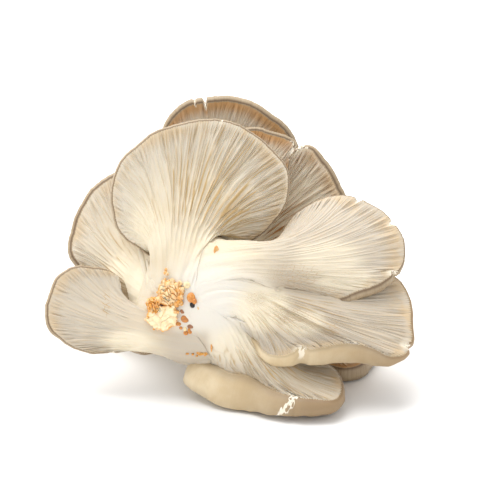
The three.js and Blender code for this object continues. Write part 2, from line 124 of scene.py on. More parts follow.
# Waves round the cap: [seed, strength, drifts along a meridian, how many times each tone goes round].
WAVES = {
    "fray": [(0, 0.1, 0, (23, 37, 61, 97)), (1, 0.25, 0, (5, 8, 13))],
    "open": [(2, 0.35, 0, (7, 11, 16))],
    "wander": [(3, 1.3, 1, (7, 11, 17)), (4, 0.6, 2, (29, 43))],
    "curl": [(10, 0.3, 0, (41, 53, 67, 89))],
    "uneven": [(9, 0.6, 3, (31, 47, 71))],
    "stem": [(6, 0.35, 1, (3, 5, 8))],
    "dent": [(7, 0.5, 2, (2, 3, 5)), (8, 0.15, 1, (11, 19))],
}
GILL_SEED = 5

BLEND = 5.0  # how softly the stems flow into one another at the foot
BLEND_NEAR = 32.0  # from the foot's centre, up to here in full
BLEND_FAR = 50.0  # and up to here not at all
FLOW_STEPS = 4
MOST_FLOW = 3  # that a point moves in a step
FOOT_CENTRE = np.array([-2.0, 8.0, -6.0])
LIMB_PLACES = np.linspace(-0.7, 1, 12)  # along a stem, where its sections are taken
FACE_DEPTHS = np.linspace(26, -30, 225)  # w, from in front of the foot's face to behind it
# The flesh is white round this middle, and fades out from near to far. Distances along w count for less,
# and those up v for more.
WHITE_MIDDLE = np.array([6.0, -4.0, 6.0])
WHITE_NEAR = 10.0
WHITE_FAR = 38.0
WHITE_DEEP = 0.6
WHITE_ABOVE = 1.35
# The foot's under side begins and is in full at these v and u. Painted shade lies there:
# it takes a share of the white away and darkens the flesh.
SHADED_WHITE_V = (-17, -24)
SHADED_WHITE_SHARE = 0.85
UNDER_SHADE_V = (-15, -24)
UNDER_RIGHT_U = (8, 2)
UNDER_LEFT_U = (-26, -12)

# One mushroom: the stem runs from `foot` past `bend` to `neck`, where the cap begins. `stem` holds its
# half widths: across and along the facing side, at the foot and at the neck. `gills` is how many its
# solid has. `frontal` is how far the gills crowd to the stem's facing side, from 0 to 1, and `flare` how
# many passes round off the neck, where that isn't FLARE. `crown` is the middle of the cap's top, `hollow`
# how far the gill side sinks behind its rim, and `full` how fully the top bulges. Each rim point is [u,
# v, w, drop, band]: where the gills end, and how far behind and outside it the cap's shoulder lies.
# Points without a drop and band have those of `edge`. `gaps` is the direction on (u, v) in which the
# gills stand furthest apart, how many degrees round the cap they do, and how open they are elsewhere and
# there, from 0 to 1. Each tear is [u, v, w, half width, depth, how far its bare white flesh reaches,
# slant], where slant is how far round the rim it has moved by its end on the cap's top. `ripe_and_shade`
# makes the flesh browner near the rim and in the gaps: partly its own browning, partly painted shade under
# the rim that rolls inward and where the cap lies in another's shadow. `dim_and_shade` makes it duller:
# partly a duller tone, partly painted shade. Both go from 0 to 1. Painted light makes it lighter round each
# [u, v, half width along u, along v, share] of `pale`, and it has cracks across its gills round each of
# `cracks`: [u, v, half width along u, along v]. The skin darkens from the first u of `tan_and_shade` to the
# second: partly its own tanning, partly painted shade on the side away from the light.
MUSHROOMS = [
    dict(
        name="mushroom_front", skin="belly", gills=32, foot=(8, -8, -4), bend=(11, -15, 5),
        neck=(15, -23, 4), stem=(12, 11, 10, 9), crown=(34, -53.4, -12), hollow=3, full=0.5,
        gaps=(0.5, -0.8, 60, 0.35, 0.6), edge=(7, 3), dim_and_shade=0.6, tan_and_shade=(0, 60), pale=[[18, -27, 17, 13, 0.6]],
        rim=[
            [71, -48, 5, 5, 2], [69.5, -43, -5, 6, 2], [65.5, -38, -14, 7, 2], [52, -32, -24],
            [35, -27, -30], [20, -26, -30], [10, -27, -23, 8, 3], [4, -30, -13, 9, 7],
            [5, -34.5, -4, 13, 12.5], [10, -38.5, 2, 15.3, 8], [16, -41.5, 5, 15.4, 8],
            [23, -42, 7, 16.3, 7.5], [29, -45, 9, 14.2, 7], [36, -49.5, 13, 11, 6], [46, -52.5, 17, 8.5, 5],
            [56, -54, 18, 6, 4], [65, -54.5, 17, 4, 3], [69.5, -53, 12, 3.5, 2.5],
        ],
        tears=[[48, -53, 17, 2.0, 1.6, 3, -8]],
    ),
    dict(
        name="mushroom_right_low", skin="belly", gills=34, foot=(9, -2, -4), bend=(16, 4, 11),
        neck=(24, -2, 13), stem=(13, 10, 11, 8), frontal=0.5, flare=5, crown=(58, -18, -20), hollow=0.5,
        full=0.45, gaps=(0.2, -1, 60, 0.2, 0.5), edge=(4, 2), dim_and_shade=1.0, tan_and_shade=(35, 115),
        pale=[[31, -9, 19, 16, 0.9], [50, -16, 17, 9, 0.7]],
        cracks=[[44, -12, 14, 6], [65, -19, 6, 5], [28, -4, 7, 5]],
        rim=[
            [106, -17.5, -1, 4, 1.5], [105, -5, -10, 4, 1.5], [101, 3.5, -18, 4, 1.5], [95, 8, -22],
            [82, 11, -25], [67, 10, -23], [52, 11, -21], [40, 14, -17], [27, 10, -10], [19, 2, -3],
            [17.5, -10, 5], [22.5, -17.5, 9], [28, -25, 12, 4, 1.5], [33, -31, 15, 4, 1.5],
            [40, -32.5, 16, 6, 1.5], [50, -30, 17, 9, 1.5], [62, -28.5, 16.5, 11, 1.5],
            [75, -26.5, 15.5, 12, 1.5], [86, -29, 14, 10, 1.5], [94, -33, 11.5, 5, 1.5],
            [101, -33, 10, 1.5, 1], [105.5, -28, 4, 2, 1],
        ],
        tears=[[51, -30, 17, 3.5, 2.5, 4, 0], [105, -28, 4, 2.5, 2.5, 3, 0]],
    ),
    dict(
        name="mushroom_right", skin="taupe", gills=32, foot=(8, 6, -3), bend=(14, 15, 11),
        neck=(31, 13, 11), stem=(12, 10, 11, 7), flare=5, crown=(56, 17, -15), hollow=3, full=0.35,
        gaps=(0.3, -1, 60, 0.06, 0.2), edge=(3, 1), dim_and_shade=1.0,
        pale=[[72, 5, 22, 9, 0.7], [64, 15, 24, 14, 0.6]], cracks=[[47, 7, 18, 9], [60, -1, 12, 4]],
        rim=[
            [102.5, 20, -12], [101, 28.5, -15], [95.5, 36, -18], [87.5, 42, -20], [79, 46, -21],
            [70, 47.5, -22], [61, 45.5, -21], [51, 40.5, -18], [44.5, 33.5, -13], [39, 26, -7],
            [31, 22.5, 0, 2, 1], [23, 18, 2, 2, 1], [23, 4, 10, 2, 1], [34, -2, 9], [50, -5, 6, 4, 2],
            [65.5, -5, 3.5, 4, 3], [80.5, 0, 1, 4, 3], [90, 3.5, -2, 4, 3], [96, 7, -4, 4, 2],
            [101, 12.5, -9],
        ],
        tears=[
            [80, 45.5, -21, 1.2, 2.0, 1.2, 0], [97, 34, -17, 1.4, 2.2, 1.6, 0],
            [98, 8.5, -5, 2.0, 2.2, 2.5, 0],
        ],
    ),
    dict(
        name="mushroom_upper", skin="taupe", gills=46, foot=(-7, 3, -6), bend=(-11, 10, 3),
        neck=(-10, 20, 0), stem=(11, 9, 14, 6.5), frontal=0.45, crown=(-2, 38, -17), hollow=4, full=0.35,
        gaps=(0.7, 0.7, 58, 0.1, 1.0), edge=(3, 1), pale=[[-26, 30, 15, 18, 0.5]],
        rim=[
            [23.5, 24, -11], [33, 30.5, -11], [39.5, 38, -10], [43, 45.5, -9], [44, 55.5, -8], [42, 63, -8],
            [35.5, 70.5, -8], [26.5, 77.5, -8], [20, 81.7, -8], [10.5, 84.6, -8], [4, 85, -8],
            [-6, 83.4, -7], [-17.7, 80.5, -5], [-24.3, 77, -4], [-30.3, 72, -3], [-36.7, 66.7, -2],
            [-41.5, 59.6, -1], [-43.5, 50, 0], [-43, 41, 0], [-41, 32, 0], [-36, 25.5, -1], [-30, 21.5, -2],
            [-23, 17, -6, 2, 1], [-12, 14, -10, 2, 1], [0, 15, -12, 2, 1], [12, 19, -12, 2, 1],
        ],
        tears=[[10.5, 84.6, -8, 0.7, 0.6, 0.8, 0]],
    ),
    dict(
        name="mushroom_left_low", skin="taupe", gills=28, foot=(1, -20, -9), bend=(-13, -25, -4),
        neck=(-27, -22, -4), stem=(11, 9, 9.5, 7), crown=(-46, -11, -18), hollow=3, full=0.35,
        gaps=(-1, -0.6, 40, 0.02, 0.25), edge=(3, 1.5), dim_and_shade=0.8, pale=[[-36, -26, 17, 8, 0.8]],
        cracks=[[-47, -7, 3, 10]],
        rim=[
            [-26, -11, -9, 3, 1], [-30.5, -6, -9, 3, 1], [-34.5, 0, -9, 3, 1], [-39, 4.5, -9], [-46, 9, -9],
            [-55, 10.5, -8], [-64, 10.5, -7], [-70.5, 6, -6], [-74.5, -3, -4], [-76, -11, -3],
            [-74, -19, -2], [-67.5, -26, -1, 2.5, 0.7], [-55, -31, -1, 2.5, 0.4], [-44, -31, -2, 2.5, 0.4],
            [-36, -30, -4, 2.5, 0.4], [-27, -32, -8, 2, 0.5], [-20, -29, -11, 2, 1], [-18, -21, -12, 2, 1],
            [-20, -14, -11, 2, 1],
        ],
        tears=[[-44, -31, -2, 1.2, 0.4, 1.0, 0]],
    ),
    dict(
        name="mushroom_left", skin="taupe", gills=26, foot=(-8, 0, -8), bend=(-16, -3, -9),
        neck=(-25, 2, -13), stem=(10, 8, 11, 7), crown=(-40, 18, -38), hollow=0.5, full=0.4,
        gaps=(-0.2, 1, 60, 0.08, 0.3), edge=(3, 2.5), pale=[[-34, 6, 17, 17, 0.6]],
        rim=[
            [-18, 38, -27, 3, 2], [-22, 50, -28, 3, 2], [-29, 57, -28, 3, 2], [-38, 58.5, -28],
            [-46.5, 55.5, -28], [-53.5, 50, -28], [-58.5, 42.5, -28], [-63, 32, -27], [-65, 24.5, -26],
            [-64.5, 18, -25], [-61, 12.5, -25], [-55, 2, -24, 3, 2], [-46, -8, -22, 3, 2],
            [-36, -14, -20, 3, 2], [-24, -14, -20, 2, 1], [-16, -5, -21, 2, 1], [-14, 10, -23, 2, 1],
            [-15, 24, -25, 2, 1],
        ],
    ),
    dict(
        name="mushroom_upper_right", skin="taupe", gills=20, foot=(2, 8, -12), bend=(8, 20, -16),
        neck=(17, 38, -23), stem=(9, 8, 9, 5), crown=(26, 54, -36), hollow=1.5, full=0.2,
        gaps=(0, 1, 70, 0.35, 0.5), edge=(2, 1), ripe_and_shade=1.0,
        rim=[
            [46, 67, -30], [47.5, 73.5, -30, 2, 2], [44, 75.5, -30, 2, 2], [36, 78.5, -30, 2, 2],
            [26, 80.5, -30, 2, 2], [16, 78, -29, 2, 2], [10, 72, -29], [6, 60, -29], [5, 46, -29],
            [9, 34, -30], [18, 32, -30], [29, 38, -29], [40, 51, -29],
        ],
        tears=[[47, 70, -30, 5, 1.2, 5, 0]],
    ),
    dict(
        name="mushroom_right_high", skin="taupe", gills=28, foot=(4, 6, -16), bend=(10, 10, -22),
        neck=(20, 20, -35), stem=(10, 8, 9, 6), crown=(42, 34, -60), hollow=2, full=0.3,
        gaps=(1, 1, 80, 0.35, 0.75), edge=(2, 1), ripe_and_shade=0.25, pale=[[58, 44, 22, 26, 0.5]],
        rim=[
            [73, 40, -44, 3, 2.5], [70.5, 49, -44, 3, 3], [67, 56, -44, 3, 3], [63.5, 62, -44, 3, 3],
            [59.5, 67, -44, 3, 3], [56, 71.5, -44, 3, 2], [50, 73, -43], [46.5, 68, -43], [42, 62, -42],
            [32, 50, -42], [22, 38, -42], [13, 26, -43], [11, 15, -44], [20, 9, -45], [35, 11, -46],
            [52, 17, -47], [66, 27, -46, 3, 2],
        ],
        tears=[[50, 73, -43, 5, 1.5, 5, 0]],
    ),
    dict(
        name="mushroom_top", skin="taupe", gills=28, foot=(-2, 6, -18), bend=(-1, 20, -36),
        neck=(4, 44, -52), stem=(9, 8, 9, 6), crown=(10, 66, -70), hollow=3, full=0.4,
        gaps=(0.4, 1, 80, 0.12, 0.2), edge=(3, 2.5), ripe_and_shade=0.9,
        rim=[
            [49.5, 58, -58], [47.5, 72.5, -54], [42.5, 80.5, -51], [34, 88, -49], [25.5, 93, -48],
            [16, 95.5, -48], [2, 95, -48], [-8, 92.5, -49], [-14.5, 87, -51], [-18.5, 79, -53, 3, 2],
            [-20, 66, -56, 3, 2], [-18, 52, -60, 3, 2], [-12, 40, -63, 3, 2], [-3, 34, -65, 3, 2],
            [12, 34, -65, 3, 2], [28, 37, -64, 3, 2], [42, 46, -61, 3, 2],
        ],
        tears=[[2, 95, -48, 0.8, 3.2, 0.9, 0], [-3, 94, -48, 0.5, 0.8, 0.5, 0]],
    ),
    dict(
        name="mushroom_back_right", skin="taupe", gills=20, foot=(8, -10, -18), bend=(28, -14, -28),
        neck=(48, -20, -40), stem=(10, 8, 8, 7), crown=(72, -34, -52), hollow=3, full=0.45,
        gaps=(1, 0, 60, 0.3, 0.5), edge=(7, 2), ripe_and_shade=0.9,
        rim=[
            [87, -31.5, -36], [90, -24, -52], [84, -16, -66], [68, -12, -72], [52, -14, -68],
            [42, -18, -57], [40, -23, -46], [46, -29, -37], [54, -33, -29], [62, -37, -24],
            [72, -39.5, -21, 6.5, 2], [80.5, -38, -25],
        ],
    ),
    dict(
        name="mushroom_back_left", skin="taupe", gills=20, foot=(-6, -8, -18), bend=(-14, -6, -36),
        neck=(-22, -6, -50), stem=(10, 9, 9, 8), crown=(-38, -14, -82), hollow=3, full=0.4,
        gaps=(-1, 0, 60, 0.3, 0.5), edge=(4, 2),
        rim=[
            [-4, -14, -62], [-5, -2, -70], [-14, 8, -77], [-28, 12, -80], [-44, 11, -79], [-58, 4, -74],
            [-64, -8, -67], [-58, -17, -61], [-46, -23, -58], [-30, -25, -56], [-15, -22, -58],
        ],
    ),
]

# Lumps of the foot: centre and half widths along u, v and w.
FOOT_LUMPS = [
    [-6, -5, -11, 21, 17, 15],
    [-6, -22, -14, 13, 9, 10],
    [-2, 2, -22, 14, 12, 12],
    [19, -9, 1.5, 8, 8, 7.5],
    [24, 5, 3, 13, 7, 10],
    [4, -31, -12, 7, 5, 7],
    [-37, 0, -19, 8, 10, 6],
]

# ---- Small sums ----


def unit(v):
    """Each vector over its length."""
    return v / np.maximum(np.linalg.norm(v, axis=-1, keepdims=True), 1e-9)


def without(d, n):
    """The part of d that is square to n, at length 1."""
    return unit(d - (d @ n)[..., None] * n)


def smooth(x):
    """0 below 0, 1 above 1 and 3x² - 2x³ between."""
    x = np.clip(x, 0.0, 1.0)
    return x * x * (3 - 2 * x)


def ramp(x, start, end):
    """0 before start, 1 past end and smooth between; the end may lie below the start."""
    return smooth((x - start) / (end - start))


def mix(a, b, k):
    """From a at k = 0 to b at k = 1."""
    return a + (b - a) * k


def bow(a, b, c, t):
    """A quadratic Bezier curve: its points and unit tangents at the shares t."""
    point = (1 - t) ** 2 * a + 2 * t * (1 - t) * b + t * t * c
    return point, unit((1 - t) * (b - a) + t * (c - b))


def cubic(p0, p1, p2, p3, t):
    """A cubic Bezier curve's points: rows follow t, columns the curves."""
    t = np.asarray(t)[:, None, None]
    return (1 - t) ** 3 * p0 + 3 * t * (1 - t) ** 2 * p1 + 3 * t * t * (1 - t) * p2 + t**3 * p3


def spline(a, b, c, d, x):
    """The Catmull-Rom curve through four points, at the share x of the way from b to c."""
    return b + 0.5 * x * (c - a + x * (2 * a - 5 * b + 4 * c - d + x * (3 * (b - c) + d - a)))


def catmull(rows, at):
    """The spline along the first axis, at the fractional indices `at`, mirrored past both ends."""
    padded = np.concatenate([2 * rows[:1] - rows[1:2], rows, 2 * rows[-1:] - rows[-2:-1]])
    i = np.minimum(np.floor(at).astype(int), len(rows) - 2)
    return spline(*(padded[i + k] for k in range(4)), (at - i)[:, None, None])


def catmull_round(rows, at):
    """The spline round closed rows, at fractional columns that may differ from row to row."""
    i = np.floor(at).astype(int)
    row = np.arange(len(rows))[:, None]
    return spline(*(rows[row, (i + k) % rows.shape[1]] for k in (-1, 0, 1, 2)), (at - i)[..., None])


def between(rows):
    """The middle of each inner point's four neighbours."""
    beside = np.roll(rows, 1, 1) + np.roll(rows, -1, 1)
    return 0.25 * (beside[1:-1] + rows[:-2] + rows[2:])


def ripple(turn, reach, tones, seed):
    """A sum of sine waves that closes round the cap: tone f goes f times round as turn goes from 0 to 1,
    drifts with reach and has strength 1 / sqrt(number of tones)."""
    rng = np.random.default_rng(seed)
    total = 0.0
    for f in tones:
        phase, drift = rng.uniform(0, 2 * math.pi), rng.uniform(-1.5, 1.5)
        total = total + np.sin(2 * math.pi * f * turn + drift * math.pi * reach + phase)
    return total / math.sqrt(len(tones))


def lay(p):
    """Points of the growing frame in millimetres as points of the laid-down cluster in metres: turned by LEAN
    about the u axis, moved, and no lower than the surface that the cluster lies on."""
    u, v, w = p[..., 0], p[..., 1], p[..., 2]
    sin, cos = math.sin(LEAN), math.cos(LEAN)
    x = u - CENTRE_X
    y = v * sin - w * cos - CENTRE_Y
    z = np.maximum(v * cos + w * sin + FOOT_HEIGHT, 0.0)
    return np.stack([x, y, z], axis=-1) * MM


# ---- Meridians ----


def rim_places(rim, count):
    """`count` evenly spaced places on the closed centripetal Catmull-Rom curve through the rim points, as
    point, tangent, drop and band, and the curve's length. Each span is the cubic c0 + c1 x + c2 x² + c3 x³
    that meets its neighbours smoothly."""
    rim = np.array(rim, float)
    here = rim[:, :3]
    before, after, beyond = (np.roll(here, shift, 0) for shift in (1, -1, -2))
    pairs = ((before, here), (here, after), (after, beyond))
    s0, s1, s2 = (np.sqrt(np.linalg.norm(b - a, axis=1))[:, None] for a, b in pairs)
    go = ((here - before) / s0 - (after - before) / (s0 + s1) + (after - here) / s1) * s1
    come = ((after - here) / s1 - (beyond - here) / (s1 + s2) + (beyond - after) / s2) * s1
    c2 = 3 * (after - here) - 2 * go - come
    c3 = 2 * (here - after) + go + come

    def at(t):
        """Point, tangent, drop and band at t, of which the whole part is the rim point before it."""
        span = np.floor(t).astype(int) % len(rim)
        x = (t - np.floor(t))[:, None]
        point = here[span] + go[span] * x + c2[span] * x**2 + c3[span] * x**3
        tangent = unit(go[span] + 2 * c2[span] * x + 3 * c3[span] * x**2)
        extras = mix(rim[span, 3:], rim[(span + 1) % len(rim), 3:], smooth(x))
        return point, tangent, extras[:, 0], extras[:, 1]

    fine = np.linspace(0, len(rim), RIM_STEPS * len(rim) + 1)
    steps = np.linalg.norm(np.diff(at(fine)[0], axis=0), axis=1)
    length = np.concatenate([[0], np.cumsum(steps)])
    return at(np.interp(np.arange(count) / count * length[-1], length, fine)), length[-1]


class Meridians:
    """Everything that depends on the place round the rim, as arrays of `count` places. Each place has a
    meridian: it leaves the stem's ring, runs along the gills to the rim, turns over the margin and ends at
    the crown. `n` is the rim's mean normal, towards the gill side."""

    def __init__(self, m, count):
        self.m = m
        self.count = count
        rim = [[*point[:3], *(point[3:] or m["edge"])] for point in m["rim"]]
        (self.rim, tangent, self.drop, self.band), self.length = rim_places(rim, count)
        self.n = unit(np.cross(self.rim, np.roll(self.rim, -1, 0)).sum(0))
        self.neck = np.array(m["neck"], float)
        self.crown = np.array(m["crown"], float)
        self.middle = self.rim.mean(0)
        self.ahead = without(self.middle - self.neck, self.n)
        self.across = np.cross(self.n, self.ahead)
        self.out = unit(np.cross(tangent, self.n))
        away = self.rim - self.neck
        polar = np.arctan2(away @ self.across, away @ self.ahead)
        even = 2 * math.pi * np.arange(count) / count
        lag = math.atan2(np.sin(polar - even).sum(), np.cos(polar - even).sum())
        behind = even + lag - polar
        turned = polar + SPREAD * np.arctan2(np.sin(behind), np.cos(behind))
        self.angle = turned - m.get("frontal", 0.0) * np.sin(turned)

    def axis(self, s):
        """The stem's axis: point and unit tangent at the shares s of its length."""
        foot, bend, neck = (np.array(self.m[k], float) for k in ("foot", "bend", "neck"))
        return bow(foot, bend, neck, np.asarray(s, float)[:, None])

    def sections(self, s):
        """The stem's elliptical sections at the shares s: centre, side and front axes, and half widths.
        Before 0 the stem's root closes like a dome, by sqrt(1 - s²)."""
        s = np.asarray(s, float)
        on = np.maximum(s, 0)
        point, tangent = self.axis(on)
        side = unit(self.across - (tangent @ self.across)[:, None] * tangent)
        front = np.cross(tangent, side)
        k = smooth(on)
        taper = np.where(s < 0, np.sqrt(np.maximum(0, 1 - s * s)), 1)
        a, b, c, d = self.m["stem"]
        centre = point + tangent * (np.minimum(s, 0) * b * ROOT)[:, None]
        return centre, side, front, mix(a, c, k) * taper, mix(b, d, k) * taper

    def rings(self, s):
        """Rows of points round the stem: centre + side · wide · sin(angle) + front · deep · cos(angle)."""
        centre, side, front, wide, deep = self.sections(s)
        sin, cos = np.sin(self.angle)[None, :, None], np.cos(self.angle)[None, :, None]
        sideways = side[:, None] * (wide[:, None, None] * sin)
        return centre[:, None] + sideways + front[:, None] * (deep[:, None, None] * cos)

    def flank(self):
        """The stem and the gill side as one grid: STEM_BASE rows of the stem, then the gill side's rows.
        Each of the FLARE passes moves them by FLARE_SHARES of the way to the middle of each point's four
        neighbours, so the stem flares smoothly into the cap."""
        stem = self.rings(np.linspace(0, 1, STEM_BASE + 1)[:-1])
        rows = np.concatenate([stem, self.gill_side()])
        for _ in range(self.m.get("flare", FLARE)):
            rows[1:-1] = mix(rows[1:-1], between(rows), FLARE_SHARES[1:-1])
        return rows

    def gill_side(self):
        """BASE_ROWS rows from the stem's ring to the rim, on cubic Bezier curves that leave along the stem
        and come in behind the rim, then RELAX passes that move each inner point to the middle of its
        neighbours."""
        start = self.rings([1.0])[0]
        rise = self.axis([1.0])[1][0]
        chord = np.linalg.norm(self.rim - start, axis=1)[:, None]
        inward = unit(without(start - self.rim, self.n) + FAN * without(self.middle - self.rim, self.n))
        drop = (np.roll(self.drop, 3) + self.drop + np.roll(self.drop, -3))[:, None] / 3
        dip = (self.m["hollow"] + DIP * drop) * np.minimum(1, chord / DIP_CHORD)
        climb = np.minimum(CLIMB * chord, MOST_CLIMB) * (0.5 + 0.5 * np.cos(self.angle))[:, None]
        behind = self.rim + inward * COME_IN * chord - self.n * dip
        rows = cubic(start, start + rise * climb, behind, self.rim, np.linspace(0, 1, BASE_ROWS))
        for _ in range(RELAX):
            rows[1:-1] = between(rows)
        return rows

    def margin(self, a):
        """Rows that turn over the rim: a quarter ellipse of drop by band, at the angles a."""
        a = np.asarray(a)[:, None, None]
        drop, band = self.drop[None, :, None], self.band[None, :, None]
        return self.rim - self.n * drop * (1 - np.cos(a)) + self.out * band * np.sin(a)

    def top(self, t):
        """Rows over the cap's top: cubic Bezier curves from the shoulder to the crown."""
        shoulder = self.margin([math.pi / 2])[0]
        sink = (shoulder - self.crown) @ self.n
        inward = shoulder - self.crown - self.n * sink[:, None]
        full = shoulder - self.n * (sink * self.m["full"])[:, None]
        crown = np.broadcast_to(self.crown, shoulder.shape)
        return cubic(shoulder, full, self.crown + 0.5 * inward, crown, t)


# ---- Where stems flow into one another ----


class Limb:
    """A stem as a distance field: from a point to the nearest place on its axis, less the elliptical half
    width there in that direction."""

    def __init__(self, meridians):
        self.parts = meridians.sections(LIMB_PLACES)

    def distance(self, p):
        """The distance and its direction for each point."""
        centre, side, front, wide, deep = self.parts
        a, b = centre[:-1], centre[1:]
        span = b - a
        t = np.clip(((p[:, None] - a) * span).sum(-1) / (span * span).sum(-1), 0, 1)
        gap = np.linalg.norm(p[:, None] - (a + span * t[..., None]), axis=-1)
        nearest = gap.argmin(1)
        k = t[np.arange(len(p)), nearest]

        def here(values):
            """The section's values at the nearest place."""
            share = k.reshape(k.shape + (1,) * (values.ndim - 1))
            return mix(values[nearest], values[nearest + 1], share)

        away = p - here(centre)
        length = np.linalg.norm(away, axis=1)
        direction = unit(away)
        sideways = (direction * here(side)).sum(1) / here(wide)
        over = np.hypot(sideways, (direction * here(front)).sum(1) / here(deep))
        return length - 1 / np.maximum(over, 1 / np.maximum(here(wide), here(deep))), direction


class Lump:
    """An ellipsoid as a distance field."""

    def __init__(self, lump):
        self.centre, self.half = np.array(lump[:3], float), np.array(lump[3:], float)

    def distance(self, p):
        """The distance and its direction for each point."""
        away = p - self.centre
        share = np.linalg.norm(away / self.half, axis=1)
        length = (share - 1) * np.linalg.norm(away, axis=1) / np.maximum(share, 1e-6)
        return length, unit(away / self.half**2)


def flow_together(points, own, limbs):
    """Moves the points of limb `own` out onto the surface where -BLEND · ln(sum of exp(-distance / BLEND))
    over all limbs is 0, which fills the creases between them. Points deep inside another limb stay hidden
    where they are."""
    p = points.reshape(-1, 3).copy()
    far = np.linalg.norm(p - FOOT_CENTRE, axis=1)
    near = np.flatnonzero(far < BLEND_FAR)
    if len(near) == 0:
        return points
    q = p[near]
    share = 1 - ramp(far[near], BLEND_NEAR, BLEND_FAR)
    start = limbs[own].distance(q)[0]
    for step in range(FLOW_STEPS):
        fields = [limb.distance(q) for limb in limbs]
        d = np.stack([f[0] for f in fields])
        d[own] -= start
        if step == 0:
            share = share * smooth(1 + np.delete(d, own, 0).min(0) / BLEND)
        weight = np.exp(-np.clip(d / BLEND, -20, 20))
        depth = BLEND * np.log(weight.sum(0))
        slope = (weight[..., None] * np.stack([f[1] for f in fields])).sum(0) / weight.sum(0)[:, None]
        steep = np.maximum((slope * slope).sum(1), 0.2)[:, None]
        q = q + slope / steep * np.clip(depth, 0, MOST_FLOW)[:, None] * share[:, None]
    p[near] = q
    return p.reshape(points.shape)


def face_of_flesh(u, v, limbs):
    """How far out the blended foot's face lies at (u, v): the first of FACE_DEPTHS that is inside it."""
    u, v = (np.asarray(a, float)[:, None] for a in (u, v))
    places = np.stack(np.broadcast_arrays(u, v, FACE_DEPTHS), -1)
    flat = places.reshape(-1, 3)
    weight = sum(np.exp(-np.clip(limb.distance(flat)[0] / BLEND, -20, 20)) for limb in limbs)
    inside = (weight > 1).reshape(places.shape[:2])
    return FACE_DEPTHS[inside.argmax(1)]


def whiteness(p):
    """How white the flesh is at points of the growing frame: most round the middle of the foot, and fading
    out from WHITE_NEAR to WHITE_FAR. On the foot's under side, painted shade takes much of the white away."""
    away = (p - WHITE_MIDDLE) * [1, 1, WHITE_DEEP]
    away[..., 1] *= np.where(away[..., 1] > 0, WHITE_ABOVE, 1)
    under = ramp(p[..., 1], *SHADED_WHITE_V) * ramp(p[..., 0], *UNDER_RIGHT_U)
    return (1 - ramp(np.linalg.norm(away, axis=-1), WHITE_NEAR, WHITE_FAR)) * (1 - SHADED_WHITE_SHARE * under)


def underside_shade(p):
    """How much painted shade darkens the flesh at points of the growing frame: fully on the foot's under
    side.
    """
    u, v = p[..., 0], p[..., 1]
    return ramp(v, *UNDER_SHADE_V) * ramp(u, *UNDER_RIGHT_U) * ramp(u, *UNDER_LEFT_U)


# ---- Meshes ----


def build(name, points, faces, marks, finishes, which=None):
    """A mesh object from laid-down points, a list of index arrays (quads or triangles), named point values
    and materials. `which` gives the material's number for each array of faces."""
    mesh = bpy.data.meshes.new(name)
    mesh.vertices.add(len(points))
    mesh.vertices.foreach_set("co", points.astype(np.float32).ravel())
    loops = np.concatenate([f.ravel() for f in faces]).astype(np.int32)
    sides = np.concatenate([np.full(len(f), f.shape[1]) for f in faces])
    mesh.loops.add(len(loops))
    mesh.loops.foreach_set("vertex_index", loops)
    mesh.polygons.add(len(sides))
    first = np.concatenate([[0], np.cumsum(sides)[:-1]]).astype(np.int32)
    mesh.polygons.foreach_set("loop_start", first)
    if which is not None:
        number = np.concatenate([np.full(len(f), k) for f, k in zip(faces, which)])
        mesh.polygons.foreach_set("material_index", number.astype(np.int32))
    mesh.update(calc_edges=True)
    mesh.validate()
    mesh.shade_smooth()
    for key, values in marks.items():
        kind, field = ("FLOAT_VECTOR", "vector") if values.ndim == 2 else ("FLOAT", "value")
        attribute = mesh.attributes.new(key, kind, "POINT")
        attribute.data.foreach_set(field, values.astype(np.float32).ravel())
    for finish in finishes:
        mesh.materials.append(finish)
    piece = bpy.data.objects.new(name, mesh)
    bpy.context.scene.collection.objects.link(piece)
    return piece


def join_rings(counts):
    """Index arrays for closed rings of these many points: the fan from a point before the first ring, the
    strips between the rings, of which a neighbour may have a multiple of the points, and the fan to a point
    after the last. The faces point outwards where the rings run round like those of `globe`."""
    starts = np.concatenate([[1], 1 + np.cumsum(counts)])
    strips = []
    for a, b, here, there in zip(starts, starts[1:], counts, counts[1:]):
        few, many = min(here, there), max(here, there)
        i = np.arange(few)
        k = (i + 1) % few
        if here == there:
            strips.append([np.stack([a + i, b + i, b + k, a + k], 1)])
            continue
        ratio = many // few
        half = ratio // 2
        f, g = (a, b) if here == few else (b, a)
        near = [(f + i if s < half else f + k, s) for s in range(ratio)]
        triangles = [np.stack([corner, g + (i * ratio + s) % many, g + (i * ratio + s + 1) % many], 1)
                     for corner, s in near]
        triangles.insert(half, np.stack([f + i, g + i * ratio + half, f + k], 1))
        strips.append(triangles if here == few else [t[:, ::-1] for t in triangles])
    i = np.arange(counts[0])
    first_fan = np.stack([np.zeros_like(i), 1 + i, 1 + (i + 1) % counts[0]], 1)
    i = np.arange(counts[-1])
    last_fan = np.stack([np.full_like(i, starts[-1]), starts[-2] + (i + 1) % counts[-1], starts[-2] + i], 1)
    return first_fan, strips, last_fan


def place_piece(piece, slot, *nodes):
    """The piece rides on the root and stands for these nodes. `slot` is not used."""
    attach(piece, "root")
    if nodes:
        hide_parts(*nodes)


# ---- Mushrooms ----


